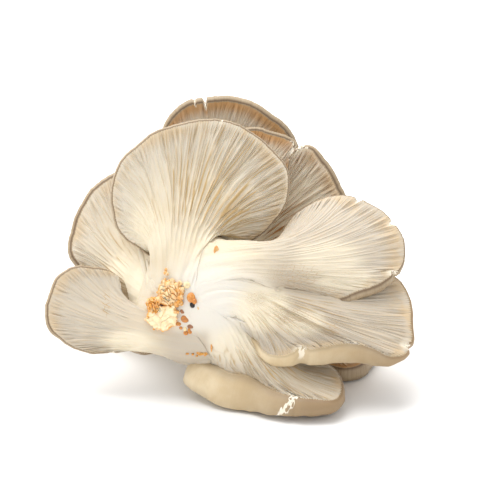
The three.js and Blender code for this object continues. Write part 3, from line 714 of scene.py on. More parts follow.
def gill_relief(x, reach, gills, open_share, seed):
    """How high the gill side stands at x, a place round the rim counted in gills, and at a reach of 0 at
    the neck to 1 at the rim. Every eighth gill runs the whole way, and between them others start further
    and further out. A gill's section is 1 - (distance / half pitch) ** power: a wide crest where the gills
    lie close, and a narrow one where they stand open. Returns the height from 0 to 1 and the half pitch in
    gills."""
    rng = np.random.default_rng(seed)
    early, strength = rng.uniform(0, 1, gills), rng.uniform(GILL_LEAST, 1, gills)
    power = mix(*CREST_POWERS, open_share)
    found = []
    for pitch, offset, start, scatter in GILL_LEVELS:
        nearest = np.round((x - offset) / pitch) * pitch + offset
        own = nearest.astype(int) % gills
        shown = smooth((reach - start - scatter * early[own]) / GILL_RISE)
        found.append((np.abs(x - nearest), shown, strength[own]))
    # Half the way to the next gill: each level that has come up halves it.
    half = 4 - 2 * found[1][1] - found[2][1] - 0.5 * found[3][1]
    height = 0
    for distance, shown, strong in found:
        crest = 1 - np.minimum(distance / half, 1) ** power
        height = np.maximum(height, crest * shown * strong)
    return height, half


def steepness(rows):
    """The outward unit normal of rows of points, by central differences."""
    round_the_cap = np.roll(rows, -1, 1) - np.roll(rows, 1, 1)
    outward = np.gradient(rows, axis=0)
    return unit(np.cross(round_the_cap, outward))


def tear_marks(m, rim, length, over=0.0, inward=0.0):
    """How deep the rim is torn at each rim point, how bare its flesh is, and how far round the rim the tear
    is, in tear widths, at the share `over` of a tear's way over the edge, or `inward` on the gill side.
    A tear is at its full depth up to a quarter of its half width from its middle, and ends at 1.25 of it.
    Bareness is exp(-(distance / reach)²) from the middle, and falls off over the edge."""
    depth, bare, beside = np.zeros(len(rim)), np.zeros(len(rim)), np.full(len(rim), FAR_BESIDE)
    step = length / len(rim)
    for u, v, w, half, deep, white, slant in m.get("tears", []):
        middle = np.linalg.norm(rim - [u, v, w], axis=1).argmin() + slant * over / step
        offset = ((np.arange(len(rim)) - middle + len(rim) / 2) % len(rim) - len(rim) / 2) * step
        apart = np.abs(offset)
        depth = np.maximum(depth, deep * np.clip(1.25 - apart / half, 0, 1))
        reach = white * (1 - 0.7 * over)
        fade = 1 - 0.5 * over**2 if slant else (1 - over) ** 2
        own = np.exp(-(apart**2 + inward**2) / reach**2) * fade
        widths = np.clip(offset / (TEAR_WIDTH * white), -FAR_BESIDE, FAR_BESIDE)
        beside = np.where(own > bare, widths, beside)
        bare = np.maximum(bare, own)
    return depth, bare, beside


def patches(points, table):
    """Soft patches on (u, v): for each [u, v, half width along u, along v, strength] the strength, in full
    up to 0.4 of the way to the patch's edge, and fading out from there."""
    most = np.zeros(len(points))
    for u, v, half_u, half_v, strength in table:
        away = np.hypot((points[:, 0] - u) / half_u, (points[:, 1] - v) / half_v)
        most = np.maximum(most, strength * (1 - ramp(away, 0.4, 1)))
    return most


class Mushroom:
    """One mushroom, as rings from the root of its stem to its crown: `turn` has a place for each gill, and
    `fine_turn` GILL_COLUMNS of them, from 0 to 1 round the cap."""

    def __init__(self, m, number, limbs):
        self.m = m
        self.number = number
        self.limbs = limbs
        self.seed = 100 * (number + 1)
        self.base = Meridians(m, 2 * m["gills"])
        self.gills = GILL_CYCLE * round(self.base.length / GILL_PITCH / GILL_CYCLE)
        self.coarse = Meridians(m, self.gills)
        self.turn = np.arange(self.gills) / self.gills
        self.fine_turn = np.arange(GILL_COLUMNS * self.gills) / (GILL_COLUMNS * self.gills)
        self.flank = self.base.flank()
        self.chords = np.linalg.norm(self.base.rim - self.base.rings([1.0])[0], axis=1)
        self.chord = self.chords.max()
        self.stem_length = np.linalg.norm(np.array(m["neck"], float) - m["foot"])
        self.rim = self.finely(self.base.rim)
        self.out = unit(self.finely(self.base.out))
        self.fray = self.waves("fray", self.fine_turn) - tear_marks(m, self.rim, self.base.length)[0]
        self.open = self.openness()
        self.rings = []
        self.marks = {key: [] for key in ("gap", "reach", "bare", "beside", "edge", "grain", "course")}

    def finely(self, values):
        """Values of the base's meridians, at the fine places."""
        return catmull_round(values[None], self.fine_turn[None] * self.base.count)[0]

    def waves(self, kind, turn, reach=0):
        """The sum of one kind of WAVES at these places round the cap and along the meridians."""
        return sum(strength * ripple(turn, drifts * reach, tones, self.seed + seed)
                   for seed, strength, drifts, tones in WAVES[kind])

    def relief(self, turn, reach, share):
        """The gills' height and half pitch at these places."""
        return gill_relief(turn * self.gills, reach, self.gills, share, self.seed + GILL_SEED)

    def openness(self):
        """How open the gills are round the cap: a bell curve round the direction of `gaps`, with waves on
        it."""
        gap_u, gap_v, width, closed, opened = self.m["gaps"]
        away = self.rim - self.base.neck
        aside = np.degrees(np.arctan2(away[:, 1], away[:, 0]) - math.atan2(gap_v, gap_u))
        aside = (aside + 180) % 360 - 180
        share = closed + (opened - closed) * np.exp(-((aside / width) ** 2))
        return np.clip(share * (1 + self.waves("open", self.fine_turn)), 0.03, 1)

    def add_stem(self):
        """The stem's rings, with the long gills running down it."""
        root = np.linspace(-0.97, 0, ROOT_ROWS + 1)[:-1]
        s = np.linspace(0, 1, STEM_ROWS - ROOT_ROWS)[:-1]
        upper = catmull(self.flank, s * STEM_BASE)
        upper = catmull_round(upper, np.broadcast_to(self.turn * self.base.count, (len(s), self.gills)))
        rows = np.concatenate([self.coarse.rings(root), upper])
        s = np.concatenate([root, s])
        rows = rows + steepness(rows) * self.waves("stem", self.turn, s[:, None])[..., None]
        run = ramp(s, STEM_GILLS_FROM, 1)[:, None]
        relief = self.relief(self.turn, np.full((len(s), 1), STEM_REACH), self.open[::GILL_COLUMNS])[0]
        pitch = np.linalg.norm(np.roll(rows, -1, 1) - rows, axis=-1)
        tall = np.minimum(STEM_GILL_HEIGHT, STEM_GILL_STEEP * pitch) * run
        rows = rows + steepness(rows) * ((relief - GILL_SUNK) * tall)[..., None]
        rows = flow_together(rows, self.number, self.limbs)
        # Painted shade in the gaps between the long gills that run down the stem.
        for row, gap, share in zip(rows, (1 - relief) * run * STEM_GAP, s):
            self.add(row, share * self.stem_length, gap=gap, reach=share - 1, beside=FAR_BESIDE)

    def add_gill_side(self):
        """The gill side: the base rows drawn finely along gills that wander a little, with the gills raised
        on them and their ends standing out like a comb at the rim."""
        base, turn = self.base, self.fine_turn
        count = int(min(MOST_ROWS, max(LEAST_ROWS, self.chord / ROW_PITCH)))
        reach = np.linspace(0, 1, count)[:, None]
        wander = np.sin(math.pi * reach) * self.waves("wander", turn, reach)
        rows = catmull(self.flank, STEM_BASE + reach[:, 0] * (BASE_ROWS - 1))
        rows = catmull_round(rows, (turn * self.gills + wander) * base.count / self.gills)
        rows = rows + self.out * (self.fray * ramp(reach, RAGGED_FROM, 1))[..., None]
        curls = self.waves("curl", turn) * ramp(reach, RAGGED_FROM, 0.9) * ramp(reach, 1, 0.94)
        rows = rows + base.n * curls[..., None]

        relief, half = self.relief(turn, reach, self.open)
        pitch = np.linalg.norm(np.roll(rows, -GILL_COLUMNS, 1) - rows, axis=-1)
        tall = np.minimum(GILL_HEIGHT, GILL_STEEP * half * pitch) * mix(*GILL_SHARES, self.open)
        tall = tall * np.minimum(1, (1 - reach) / RIM_REACH + RIM_SHARE)
        tall = tall * mix(NECK_SHARE, 1.0, ramp(reach, 0, NECK_REACH))
        rows = rows + steepness(rows) * ((relief - GILL_SUNK) * tall)[..., None]
        notch = COMB[self.m["skin"]] * (1 - relief) * ramp(reach, COMB_FROM, 1)
        rows = rows - self.out * notch[..., None]

        # Painted shade down between the gills: deepest in the gaps of tall, open gills, and uneven round the
        # cap.
        along = smooth(GAP_RISE * reach) * mix(1.0, GAP_OUTER, ramp(reach, *GAP_FADES))
        uneven = np.clip(1 + self.waves("uneven", turn, reach), *UNEVEN)
        run_out = self.finely(ramp(self.chords, 0, GAP_CHORD)[:, None])[:, 0]
        gaps = (1 - relief) ** GAP_POWER * np.minimum(tall / GAP_TALL, 1) * mix(GAP_CLOSED, 1.0, self.open)
        gaps = gaps * along * uneven * run_out
        rows = flow_together(rows, self.number, self.limbs)
        for row, gap, k in zip(rows, gaps, reach[:, 0]):
            _, bare, beside = tear_marks(self.m, self.rim, base.length, 0.0, (1 - k) * self.chord)
            self.add(row, self.stem_length + k * self.chord, gap=gap, reach=k, bare=bare, beside=beside)

    def add_cap(self):
        """The margin and the top, with the rim's raggedness carried over the edge."""
        coarse, fray = self.coarse, self.fray[::GILL_COLUMNS]
        over = self.stem_length + self.chord
        rows = coarse.margin(np.linspace(MARGIN_START, 1, MARGIN_ROWS) * math.pi / 2)
        rows = rows + coarse.out * fray[:, None]
        for row, a in zip(rows, np.arange(MARGIN_ROWS) / (MARGIN_ROWS - 1)):
            _, bare, beside = tear_marks(self.m, coarse.rim, coarse.length, TEAR_OVER * a)
            self.add(row, over + a * MARGIN_LENGTH, reach=1.0, bare=bare, beside=beside, edge=1 - a)

        t = np.linspace(0, 1, TOP_ROWS + 1)[1:-1] ** 0.9
        rows = coarse.top(t)
        rows = rows + coarse.out * (fray * (1 - t[:, None]) ** 3)[..., None]
        dents = self.waves("dent", self.turn, t[:, None]) * np.sin(math.pi * t[:, None]) ** 0.5
        rows = rows + steepness(rows) * dents[..., None]
        for row, k in zip(rows, t):
            _, bare, beside = tear_marks(self.m, coarse.rim, coarse.length, min(TEAR_OVER + k, 1))
            along = over + MARGIN_LENGTH + k * self.chord
            self.add(row, along, reach=1 + k, bare=bare * (k < BARE_TOP), beside=beside)

    def add(self, points, along, **given):
        """One more ring, at `along` millimetres on the meridians, with its marks, which are 0 where not
        given. `grain` is the place on a circle as long as the rim and on the meridian, and `course` those
        two lengths."""
        turn = self.turn if len(points) == self.gills else self.fine_turn
        around, a = self.coarse.length / (2 * math.pi), 2 * math.pi * turn
        heights = np.full(len(turn), along)
        given["grain"] = np.stack([around * np.cos(a), around * np.sin(a), heights], 1)
        given["course"] = np.stack([heights, turn * self.base.length, 0 * turn], 1)
        self.rings.append(points)
        for key, values in self.marks.items():
            mark = given.get(key, 0.0)
            values.append(mark if np.ndim(mark) == 2 else np.broadcast_to(mark, len(points)))

    def piece(self, finishes):
        """The rings as one closed mesh, with flesh below the rim and skin above it."""
        m = self.m
        self.add_stem()
        self.add_gill_side()
        flesh_strips = len(self.rings) - 1
        self.add_cap()
        root = self.base.rings([-1.0])[0].mean(0)
        points = np.concatenate([[root], *self.rings, [self.base.crown]])
        marks = {key: np.concatenate([rows[0][:1], *rows, rows[-1][:1]]) for key, rows in self.marks.items()}
        marks["white"] = whiteness(points)
        marks["ripe_and_shade"] = np.full(len(points), m.get("ripe_and_shade", 0.0))
        # Partly a duller tone of the cap and partly painted shade; fully painted shade on the foot's under
        # side.
        dulled_and_shaded = m.get("dim_and_shade", 0.0) * ramp(marks["reach"], -0.6, 0.5)
        marks["dim_and_shade"] = np.maximum(dulled_and_shaded, underside_shade(points))
        # Darker towards the given u: partly the skin's own tanning and partly painted shade on the side away
        # from the light.
        marks["tan_and_shade"] = ramp(points[:, 0], *m.get("tan_and_shade", (0, 1)))
        marks["cracked"] = patches(points, [[*row, 1] for row in m.get("cracks", [])])
        # Painted light: lighter patches over places that fall into shade.
        marks["pale"] = patches(points, m.get("pale", []))
        first_fan, strips, last_fan = join_rings([len(ring) for ring in self.rings])
        faces, which = [first_fan], [0]
        for number, strip in enumerate(strips):
            faces += strip
            which += [int(number >= flesh_strips)] * len(strip)
        piece = build(m["name"] + "_gilled", lay(points), faces + [last_fan], marks, finishes, which + [1])
        place_piece(piece, "mushroom", m["name"])


# ---- Foot, buds and crust ----

FOOT_MIDDLE = np.array([-6.0, -9.0, -14.0])
FOOT_COLUMNS = 120
FOOT_ROWS = 70
FOOT_BLEND = 3  # how softly the foot's lumps blend into one another
FOOT_REACH = 60.0  # a radius from the foot's middle that lies outside it
FOOT_HALVINGS = 18
BEAD_COLUMNS = 14  # of a crumb or a bud
BEAD_ROWS = 9

# Slabs of the crust: centre, half widths along u and v, height, how far its lip stands up, folds to a
# millimetre, and warmth from 0 for cream to 1 for orange.
CRUST_SLABS = [
    [-15, -1.5, 6.2, 6.4, 2.2, 0.3, 0.30, 0.45],
    [-23.2, -7.5, 3.6, 4.2, 2.2, 0.3, 0.36, 0.8],
    [-18.8, -13.8, 7.8, 6.2, 1.0, 1.0, 0.16, -0.05],
]
SLAB_COLUMNS = 84
SLAB_ROWS = 28
# Specks of blue-green mould on them, on (u, v).
MOULD = np.array([[-18.5, 1.5], [-17.8, 0.2], [-16.5, -4.5], [-15.3, -5.0], [-17.2, -3.6], [-20.0, -10.0]])
# The crust's pad, and heaps of crumbs on it: [u, v, number, spread along u and v, crumb radius from, to,
# warmth from 0 for cream to 1 for orange].
CRUST_PAD = [-17, -7, -1, 8.5, 11, 4]
CRUST_HEAPS = [
    [-12.5, 2.6, 7, 4.0, 2.4, 0.7, 1.4, 0.45],
    [-16.0, 4.6, 6, 4.0, 1.0, 0.6, 1.1, 0.5],
    [-10.2, -3.0, 9, 1.6, 5.0, 0.9, 1.7, 0.75],
    [-24.5, -6.0, 8, 2.4, 3.6, 0.8, 1.5, 0.85],
    [-20.0, -5.0, 5, 2.0, 2.0, 0.8, 1.4, 0.7],
    [-25.6, -14.0, 9, 0.6, 3.5, 0.5, 0.9, 0.9],
    [-18.5, -19.6, 9, 6.0, 0.6, 0.4, 0.8, 0.6],
    [-12.5, -8.5, 8, 2.0, 3.0, 0.6, 1.2, 0.7],
    [-17.3, 8.3, 4, 1.0, 3.0, 0.5, 1.2, 0.8],
    [-1, -32, 12, 4.5, 1.2, 0.4, 0.9, 0.9],
]
# Small buds that never opened: [u, v, half widths along u and v, rise, dimple, hue], where the dimple is
# how deep the bud's middle is pressed in, and hue goes from 0 for cream over orange and brown to 1 for
# black.
BUDS = [
    [-6.4, 2.6, 1.8, 1.7, 1.5, 0.5, 0.1],
    [-4.2, -3.6, 2.3, 2.6, 1.6, 0.0, 0.45],
    [-2.6, -5.4, 1.2, 1.6, 1.7, 0.0, 0.5],
    [-3.4, -7.2, 1.6, 1.6, 1.0, 0.7, 0.97],
    [-0.4, -8.5, 0.8, 1.3, 0.3, 0.0, 0.3],
    [-8.5, -10.5, 1.3, 1.2, 0.6, 0.3, 0.62],
    [-7.2, -14.2, 2.3, 2.0, 0.9, 0.2, 0.55],
    [-4.5, -18.0, 1.8, 1.2, 0.8, 0.3, 0.7],
    [-13.0, -13.7, 0.9, 0.9, 0.9, 0.0, 0.4],
    [-12.0, -15.2, 0.8, 1.6, 1.0, 0.0, 0.42],
    [-10.6, -16.8, 1.5, 1.1, 1.2, 0.5, 0.45],
    [-9.4, -18.8, 0.9, 0.9, 0.9, 0.0, 0.5],
    [-7.3, -19.3, 0.8, 1.3, 1.0, 0.0, 0.12],
    [-7.0, -21.3, 1.2, 1.2, 1.2, 0.5, 0.48],
    [-5.3, -19.8, 0.8, 1.5, 1.0, 0.0, 0.48],
    [-4.9, -20.8, 1.1, 1.0, 1.1, 0.4, 0.5],
    [8.2, 19.5, 1.3, 2.8, 0.6, 0.4, 0.36],
    [5.8, -28.5, 0.5, 2.4, 0.6, 0.0, 0.4],
]
# Places on (u, v) at which the face under the crust is known.
FACE_U = np.linspace(-32, -2, 21)
FACE_V = np.linspace(-26, 12, 27)
# Strips of flesh torn from the upper left stem: three points of each one's path and its half width.
TORN_STRIPS = [
    [[-30.5, 22.0, -7], [-27.5, 8, 0], [-24, -6, 2], 1.2],
    [[-28.5, 15.0, -6], [-26.2, 5, 1], [-23.5, -3, 3], 0.8],
    [[-26.8, 15.5, -4], [-25.0, 5, 2], [-22.5, -2, 4], 1.0],
    [[-24.5, 19.5, -6], [-23.2, 10, 0], [-21.5, 3, 4], 1.0],
]
STRIP_COLUMNS = 10
STRIP_ROWS = 18
STRIP_FLAT = 0.45  # a strip's thickness over its width
STRIP_WHITE = 0.15


def globe(columns, rows):
    """Unit vectors over a globe: a pole, rings of longitudes, and the other pole."""
    theta = np.linspace(0, math.pi, rows + 2)[1:-1, None]
    phi = 2 * math.pi * np.arange(columns) / columns
    around = (np.sin(theta) * np.cos(phi), np.sin(theta) * np.sin(phi), np.cos(theta))
    rings = np.stack(np.broadcast_arrays(*around), -1)
    return np.concatenate([[[0, 0, 1.0]], rings.reshape(-1, 3), [[0, 0, -1.0]]])


def gather(name, parts, columns, rows, marks, finish_of_parts, slot, *nodes):
    """Closed parts as one piece. Each part is a pole, `rows` rings of `columns` points and another pole,
    and its rings run round like those of `globe`."""
    first_fan, strips, last_fan = join_rings([columns] * rows)
    quads = np.concatenate([f for strip in strips for f in strip])
    triangles = np.concatenate([first_fan, last_fan])
    starts = np.arange(len(parts))[:, None, None] * len(parts[0])
    faces = [(quads + starts).reshape(-1, 4), (triangles + starts).reshape(-1, 3)]
    piece = build(name, lay(np.concatenate(parts)), faces, marks, [finish_of_parts])
    place_piece(piece, slot, *nodes)


def plain_marks(p):
    """The marks of smooth flesh at points of the growing frame."""
    marks = {key: np.zeros(len(p)) for key in ("gap", "bare", "edge", "ripe_and_shade", "cracked", "pale")}
    return {**marks, "reach": np.full(len(p), -1.0), "white": whiteness(p), "dim_and_shade": underside_shade(p),
            "grain": p * [1, 1, 0.4], "course": 0 * p}


def foot_piece(limbs, finish_of_flesh):
    """The foot: along each direction from its middle, the radius at which the blend of its lumps ends,
    found by halving, with slight waves on it, and then flowed together with the stems."""
    directions = globe(FOOT_COLUMNS, FOOT_ROWS)
    lumps = [Lump(lump) for lump in FOOT_LUMPS]
    low, high = np.full(len(directions), 1.0), np.full(len(directions), FOOT_REACH)
    for _ in range(FOOT_HALVINGS):
        radius = (low + high) / 2
        p = FOOT_MIDDLE + directions * radius[:, None]
        inside = sum(np.exp(-np.clip(lump.distance(p)[0] / FOOT_BLEND, -30, 30)) for lump in lumps) > 1
        low, high = np.where(inside, radius, low), np.where(inside, high, radius)
    p = FOOT_MIDDLE + directions * low[:, None]
    u, v = p[:, :1], p[:, 1:2]
    p = p + directions * (0.25 * np.sin(u * 0.9 + 2 * np.sin(v * 0.5)) * np.cos(v * 0.8))
    p = flow_together(p, len(limbs) - len(FOOT_LUMPS), limbs)
    gather("foot_flesh", [p], FOOT_COLUMNS, FOOT_ROWS, plain_marks(p), finish_of_flesh, "foot", "foot")


def crumb(radius, squash, seed):
    """A crumb about the origin: a globe whose radius swells by folds, 1 + 0.2 · sin · sin + 0.1 · sin of
    slanted waves, and which is flatter along w. Returns its points and how deep each lies in a fold, from
    -1 to 1."""
    rng = np.random.default_rng(seed)
    d = globe(BEAD_COLUMNS, BEAD_ROWS)
    folds = np.sin(d @ rng.normal(0, 2.2, (3, 3)).T + rng.uniform(0, 6.3, 3))
    swell = 1 + 0.2 * folds[:, 0] * folds[:, 1] + 0.1 * folds[:, 2]
    return d * swell[:, None] * radius * np.array([1, 1, squash]), folds[:, 0] * folds[:, 1]


def bud(half_u, half_v, rise, dimple):
    """A bud about the origin: a flattened globe, with its front pressed in by dimple · exp(-(distance /
    0.55)²). Returns its points and how deep each is pressed in, as a negative number."""
    d = globe(BEAD_COLUMNS, BEAD_ROWS)
    across = np.hypot(d[:, 0], d[:, 1])
    pressed = dimple * (np.exp(-((across / 0.55) ** 2)) * (d[:, 2] > 0))
    return d * [half_u, half_v, rise] - np.stack([0 * across, 0 * across, pressed], 1), -pressed


def slab(table_row, face, seed):
    """A slab on the flesh: its edge lies at 1 + ripples times its half widths, and its top is height · (1 -
    r⁴) · folds + lip near the edge, where folds = |sum of nine sine waves that run all ways / 3|^0.6.
    Returns points, warmth and how deep each point lies in a fold."""
    u, v, half_u, half_v, height, lip, fine, warm = table_row
    turn = np.arange(SLAB_COLUMNS) / SLAB_COLUMNS
    edge = 1 + 0.08 * ripple(turn, 0, (3, 5, 8), seed) + 0.05 * ripple(turn, 0, (13, 21), seed + 1)
    r = np.linspace(0, 1, SLAB_ROWS - 1)[1:, None]
    x = u + half_u * r * edge * np.cos(2 * math.pi * turn)
    y = v + half_v * r * edge * np.sin(2 * math.pi * turn)
    rng = np.random.default_rng(seed)
    spans = ((0, 2 * math.pi), (0, 2 * math.pi), (0.6, 1.5))
    way, phase, pace = (rng.uniform(low, high, 9) for low, high in spans)
    waves = 0
    for a, f, p in zip(way, phase, pace):
        straight = 2 * math.pi * fine * p * (x * math.cos(a) + y * math.sin(a))
        waves = waves + np.sin(straight + f + 0.8 * np.sin(fine * 4 * x + a))
    fold = np.minimum(np.abs(waves) / 3, 1) ** 0.6
    rise = height * (1 - r**4) * (0.35 + 0.9 * fold) + lip * ramp(r, 0.7, 0.95)
    ground = face(x, y)
    top = np.stack([x, y, ground + rise], -1)
    skirt = np.stack([u + (x[-1:] - u) * 0.97, v + (y[-1:] - v) * 0.97, ground[-1:] - 1.5], -1)
    rings = np.concatenate([top, skirt, skirt + [0, 0, -0.5]]).reshape(-1, 3)
    first = [u, v, top[0, :, 2].mean()]
    last = [u, v, ground.min() - 2]
    rimmed = 0.9 * ramp(r, 0.8, 0.98) * (0.6 + 0.4 * ripple(turn, 0, (2, 3, 7), seed + 2))
    hidden = 2 * SLAB_COLUMNS + 1
    warmth = np.concatenate([[warm], (warm + rimmed + 0 * x).ravel(), np.full(hidden, 1.0)])
    # Painted shade down in the folds, weaker where the folds are coarse.
    crease_shade = np.concatenate([[0], -((1 - fold) ** 2).ravel() * min(1.0, 4 * fine), np.zeros(hidden)])
    return np.concatenate([[first], rings, [last]]), warmth, crease_shade


def crust_piece(name, parts, warmth, fold, columns, rows, finish_of_crust, *nodes):
    """Parts of the crust as one piece, mouldy by exp(-(distance / 0.9)²) of the nearest speck."""
    points = np.concatenate(parts)
    away = np.linalg.norm(points[:, None, :2] - MOULD, axis=-1).min(1)
    mould = np.exp(-((away / 0.9) ** 2))
    marks = {"warmth": np.concatenate(warmth), "fold": np.concatenate(fold), "mould": mould}
    gather(name, parts, columns, rows, marks, finish_of_crust, "crust", *nodes)


def crust_pieces(limbs, finish_of_crust):
    """The crust: slabs on the face of the foot, and crumbs heaped on and round them."""
    rng = np.random.default_rng(11)
    under = limbs + [Lump(CRUST_PAD)]
    places = (a.ravel() for a in np.meshgrid(FACE_U, FACE_V, indexing="ij"))
    known = face_of_flesh(*places, under).reshape(len(FACE_U), len(FACE_V))

    def face(u, v):
        """The face between the known places, in straight lines."""
        i, j = ((x - known_at[0]) / (known_at[-1] - known_at[0]) * (len(known_at) - 1)
                for x, known_at in ((u, FACE_U), (v, FACE_V)))
        a = np.clip(np.floor(i).astype(int), 0, len(FACE_U) - 2)
        b = np.clip(np.floor(j).astype(int), 0, len(FACE_V) - 2)
        left, right = (mix(known[a + k, b], known[a + k, b + 1], j - b) for k in (0, 1))
        return mix(left, right, i - a)

    parts, warmth, fold = zip(*(slab(row, face, 3 + k) for k, row in enumerate(CRUST_SLABS)))
    crust_piece("crust_slabs", parts, warmth, fold, SLAB_COLUMNS, SLAB_ROWS, finish_of_crust, "crust")

    parts, warmth, fold = [], [], []
    for u, v, number, along_u, along_v, smallest, largest, warm in CRUST_HEAPS:
        us, vs = rng.normal(u, along_u / 2, number), rng.normal(v, along_v / 2, number)
        height = face_of_flesh(us, vs, under)
        radii = rng.uniform(smallest, largest, number)
        for k in range(number):
            shape, folds = crumb(radii[k], rng.uniform(0.6, 0.95), rng.integers(1 << 30))
            parts.append(shape + [us[k], vs[k], height[k] + 0.45 * radii[k]])
            warmth.append(np.full(len(shape), np.clip(warm + rng.normal(0, 0.18), 0, 1)))
            fold.append(folds)
    crust_piece("crust_crumbs", parts, warmth, fold, BEAD_COLUMNS, BEAD_ROWS, finish_of_crust)


def strip_piece(finish_of_flesh):
    """Torn strips: tubes with a flat elliptical section along Bezier curves, blunt at both ends."""
    turn = 2 * math.pi * np.arange(STRIP_COLUMNS) / STRIP_COLUMNS
    t = np.linspace(0.0, 1.0, STRIP_ROWS)[:, None]
    parts = []
    for number, (a, b, c, half) in enumerate(TORN_STRIPS):
        path, along = bow(*(np.array(p, float) for p in (a, b, c)), t)
        side = unit(np.cross(along, [0, 0, 1.0]))
        up = np.cross(side, along)
        wide = half * np.sqrt(1.02 - (2 * t - 1) ** 10) * (0.75 + 0.25 * np.sin(7 * t + number) + 0.4 * t)
        rings = path[:, None] + side[:, None] * (wide * np.cos(turn))[..., None]
        rings = rings + up[:, None] * (STRIP_FLAT * wide * np.sin(turn))[..., None]
        first, last = path[:1] - 0.1 * along[:1], path[-1:] + 0.1 * along[-1:]
        parts.append(np.concatenate([first, rings.reshape(-1, 3), last]))
    marks = plain_marks(np.concatenate(parts))
    marks["white"] = np.full(len(marks["white"]), STRIP_WHITE)
    gather("torn_strips", parts, STRIP_COLUMNS, STRIP_ROWS, marks, finish_of_flesh, "mushroom")


def bud_piece(limbs, finish_of_buds):
    """The buds, each on the face of the flesh under it."""
    table = np.array(BUDS)
    face = face_of_flesh(table[:, 0], table[:, 1], limbs)
    parts, hue, fold = [], [], []
    for (u, v, half_u, half_v, rise, dimple, colour), w in zip(BUDS, face):
        shape, pressed = bud(half_u, half_v, rise, dimple)
        parts.append(shape + [u, v, w + 0.15 * rise])
        hue.append(np.full(len(shape), colour))
        fold.append(pressed)
    marks = {"hue": np.concatenate(hue), "fold": np.concatenate(fold)}
    gather("buds", parts, BEAD_COLUMNS, BEAD_ROWS, marks, finish_of_buds, "foot")


# ---- Finishes ----


def tone(code):
    """A #rrggbb colour as linear light."""
    parts = [int(code[k : k + 2], 16) / 255 for k in (1, 3, 5)]
    return [c / 12.92 if c <= 0.04045 else ((c + 0.055) / 1.055) ** 2.4 for c in parts] + [1.0]


class Nodes:
    """Short ways to add nodes to a tree and to link them."""

    def __init__(self, tree):
        self.tree = tree

    def add(self, kind, **settings):
        """A node of this kind with these properties."""
        node = self.tree.nodes.new(kind)
        for key, value in settings.items():
            setattr(node, key, value)
        return node

    def feed(self, socket, value):
        """A socket takes another socket's output or a plain value."""
        if isinstance(value, bpy.types.NodeSocket):
            self.tree.links.new(value, socket)
        else:
            socket.default_value = value

    def feed_all(self, node, **values):
        """A node's outputs, with these values on its sockets."""
        for key, value in values.items():
            self.feed(node.inputs[key], value)
        return node.outputs

    def mark(self, name, vector=False):
        """A named point value of the mesh."""
        return self.add("ShaderNodeAttribute", attribute_name=name).outputs["Vector" if vector else "Fac"]

    def place(self):
        """Object coordinates."""
        return self.add("ShaderNodeTexCoord").outputs["Object"]

    def maths(self, operation, a, b=0.0, clamp=False):
        """The named operation on a and b."""
        node = self.add("ShaderNodeMath", operation=operation, use_clamp=clamp)
        for socket, given in zip(node.inputs, (a, b)):
            self.feed(socket, given)
        return node.outputs[0]

    def times(self, a, b, clamp=False):
        """Their product, held between 0 and 1 if it is clamped."""
        return self.maths("MULTIPLY", a, b, clamp)

    def plus(self, a, b):
        """Their sum."""
        return self.maths("ADD", a, b)

    def spread(self, value, low, high, to_low=0.0, to_high=1.0):
        """Value from low..high to to_low..to_high, smoothly, and held at the ends."""
        node = self.add("ShaderNodeMapRange", interpolation_type="SMOOTHSTEP")
        for socket, given in zip(node.inputs, (value, low, high, to_low, to_high)):
            self.feed(socket, given)
        return node.outputs[0]

    def noise(self, vector, scale, detail=3.0, roughness=0.5):
        """Smooth noise from 0 to 1 over a vector."""
        node = self.add("ShaderNodeTexNoise")
        self.feed_all(node, Vector=vector, Scale=scale, Detail=detail, Roughness=roughness)
        return node.outputs["Fac"]

    def blend(self, share, a, b):
        """The colour a, and b by its share. A colour mix has them on its sockets 6 and 7, and gives its
        colour on its output 2."""
        node = self.add("ShaderNodeMix", data_type="RGBA")
        for socket, given in (("Factor", share), (6, a), (7, b)):
            self.feed(node.inputs[socket], given)
        return node.outputs[2]

    def layers(self, colour, *layers):
        """A colour with others laid over it, each by its share, in this order."""
        for share, over in layers:
            colour = self.blend(share, colour, over)
        return colour

    def bump(self, height, distance, strength=1.0):
        """A normal that is tilted as by this height."""
        node = self.add("ShaderNodeBump")
        self.feed_all(node, Height=height, Distance=distance, Strength=strength)
        return node.outputs["Normal"]

    def group(self, tree, **values):
        """The outputs of a node group with these values."""
        return self.feed_all(self.add("ShaderNodeGroup", node_tree=tree), **values)


def finish(name, **shader):
    """A material with a Principled shader, and the plain values on its own sockets."""
    material = bpy.data.materials.new(name)
    material.use_nodes = True
    nodes = Nodes(material.node_tree)
    principled = material.node_tree.nodes["Principled BSDF"]
    for key, value in shader.items():
        principled.inputs[key.replace("_", " ")].default_value = value
    return material, nodes, principled


def effect(name, inputs, outputs):
    """A shader node group with these named sockets, as its nodes, its inputs and its outputs."""
    tree = bpy.data.node_groups.new(name, "ShaderNodeTree")
    for key, kind in inputs.items():
        tree.interface.new_socket(name=key, in_out="INPUT", socket_type=kind)
    for key, kind in outputs.items():
        tree.interface.new_socket(name=key, in_out="OUTPUT", socket_type=kind)
    nodes = Nodes(tree)
    return tree, nodes, nodes.add("NodeGroupInput").outputs, nodes.add("NodeGroupOutput").inputs


def fibre_effect():
    """Fibres that run along the meridians: noise on the grain, which is many times longer than it is wide."""
    tree, nodes, given, wanted = effect(
        "fibres", {"Grain": "NodeSocketVector", "Fineness": "NodeSocketFloat"}, {"Fibre": "NodeSocketFloat"}
    )
    stretch = nodes.add("ShaderNodeVectorMath", operation="MULTIPLY")
    nodes.feed(stretch.inputs[0], given["Grain"])
    stretch.inputs[1].default_value = (1.0, 1.0, 0.06)
    scaled = nodes.add("ShaderNodeVectorMath", operation="SCALE")
    nodes.feed(scaled.inputs[0], stretch.outputs[0])
    nodes.feed(scaled.inputs["Scale"], given["Fineness"])
    nodes.feed(wanted["Fibre"], nodes.noise(scaled.outputs[0], 1.0, 4.0, 0.6))
    return tree


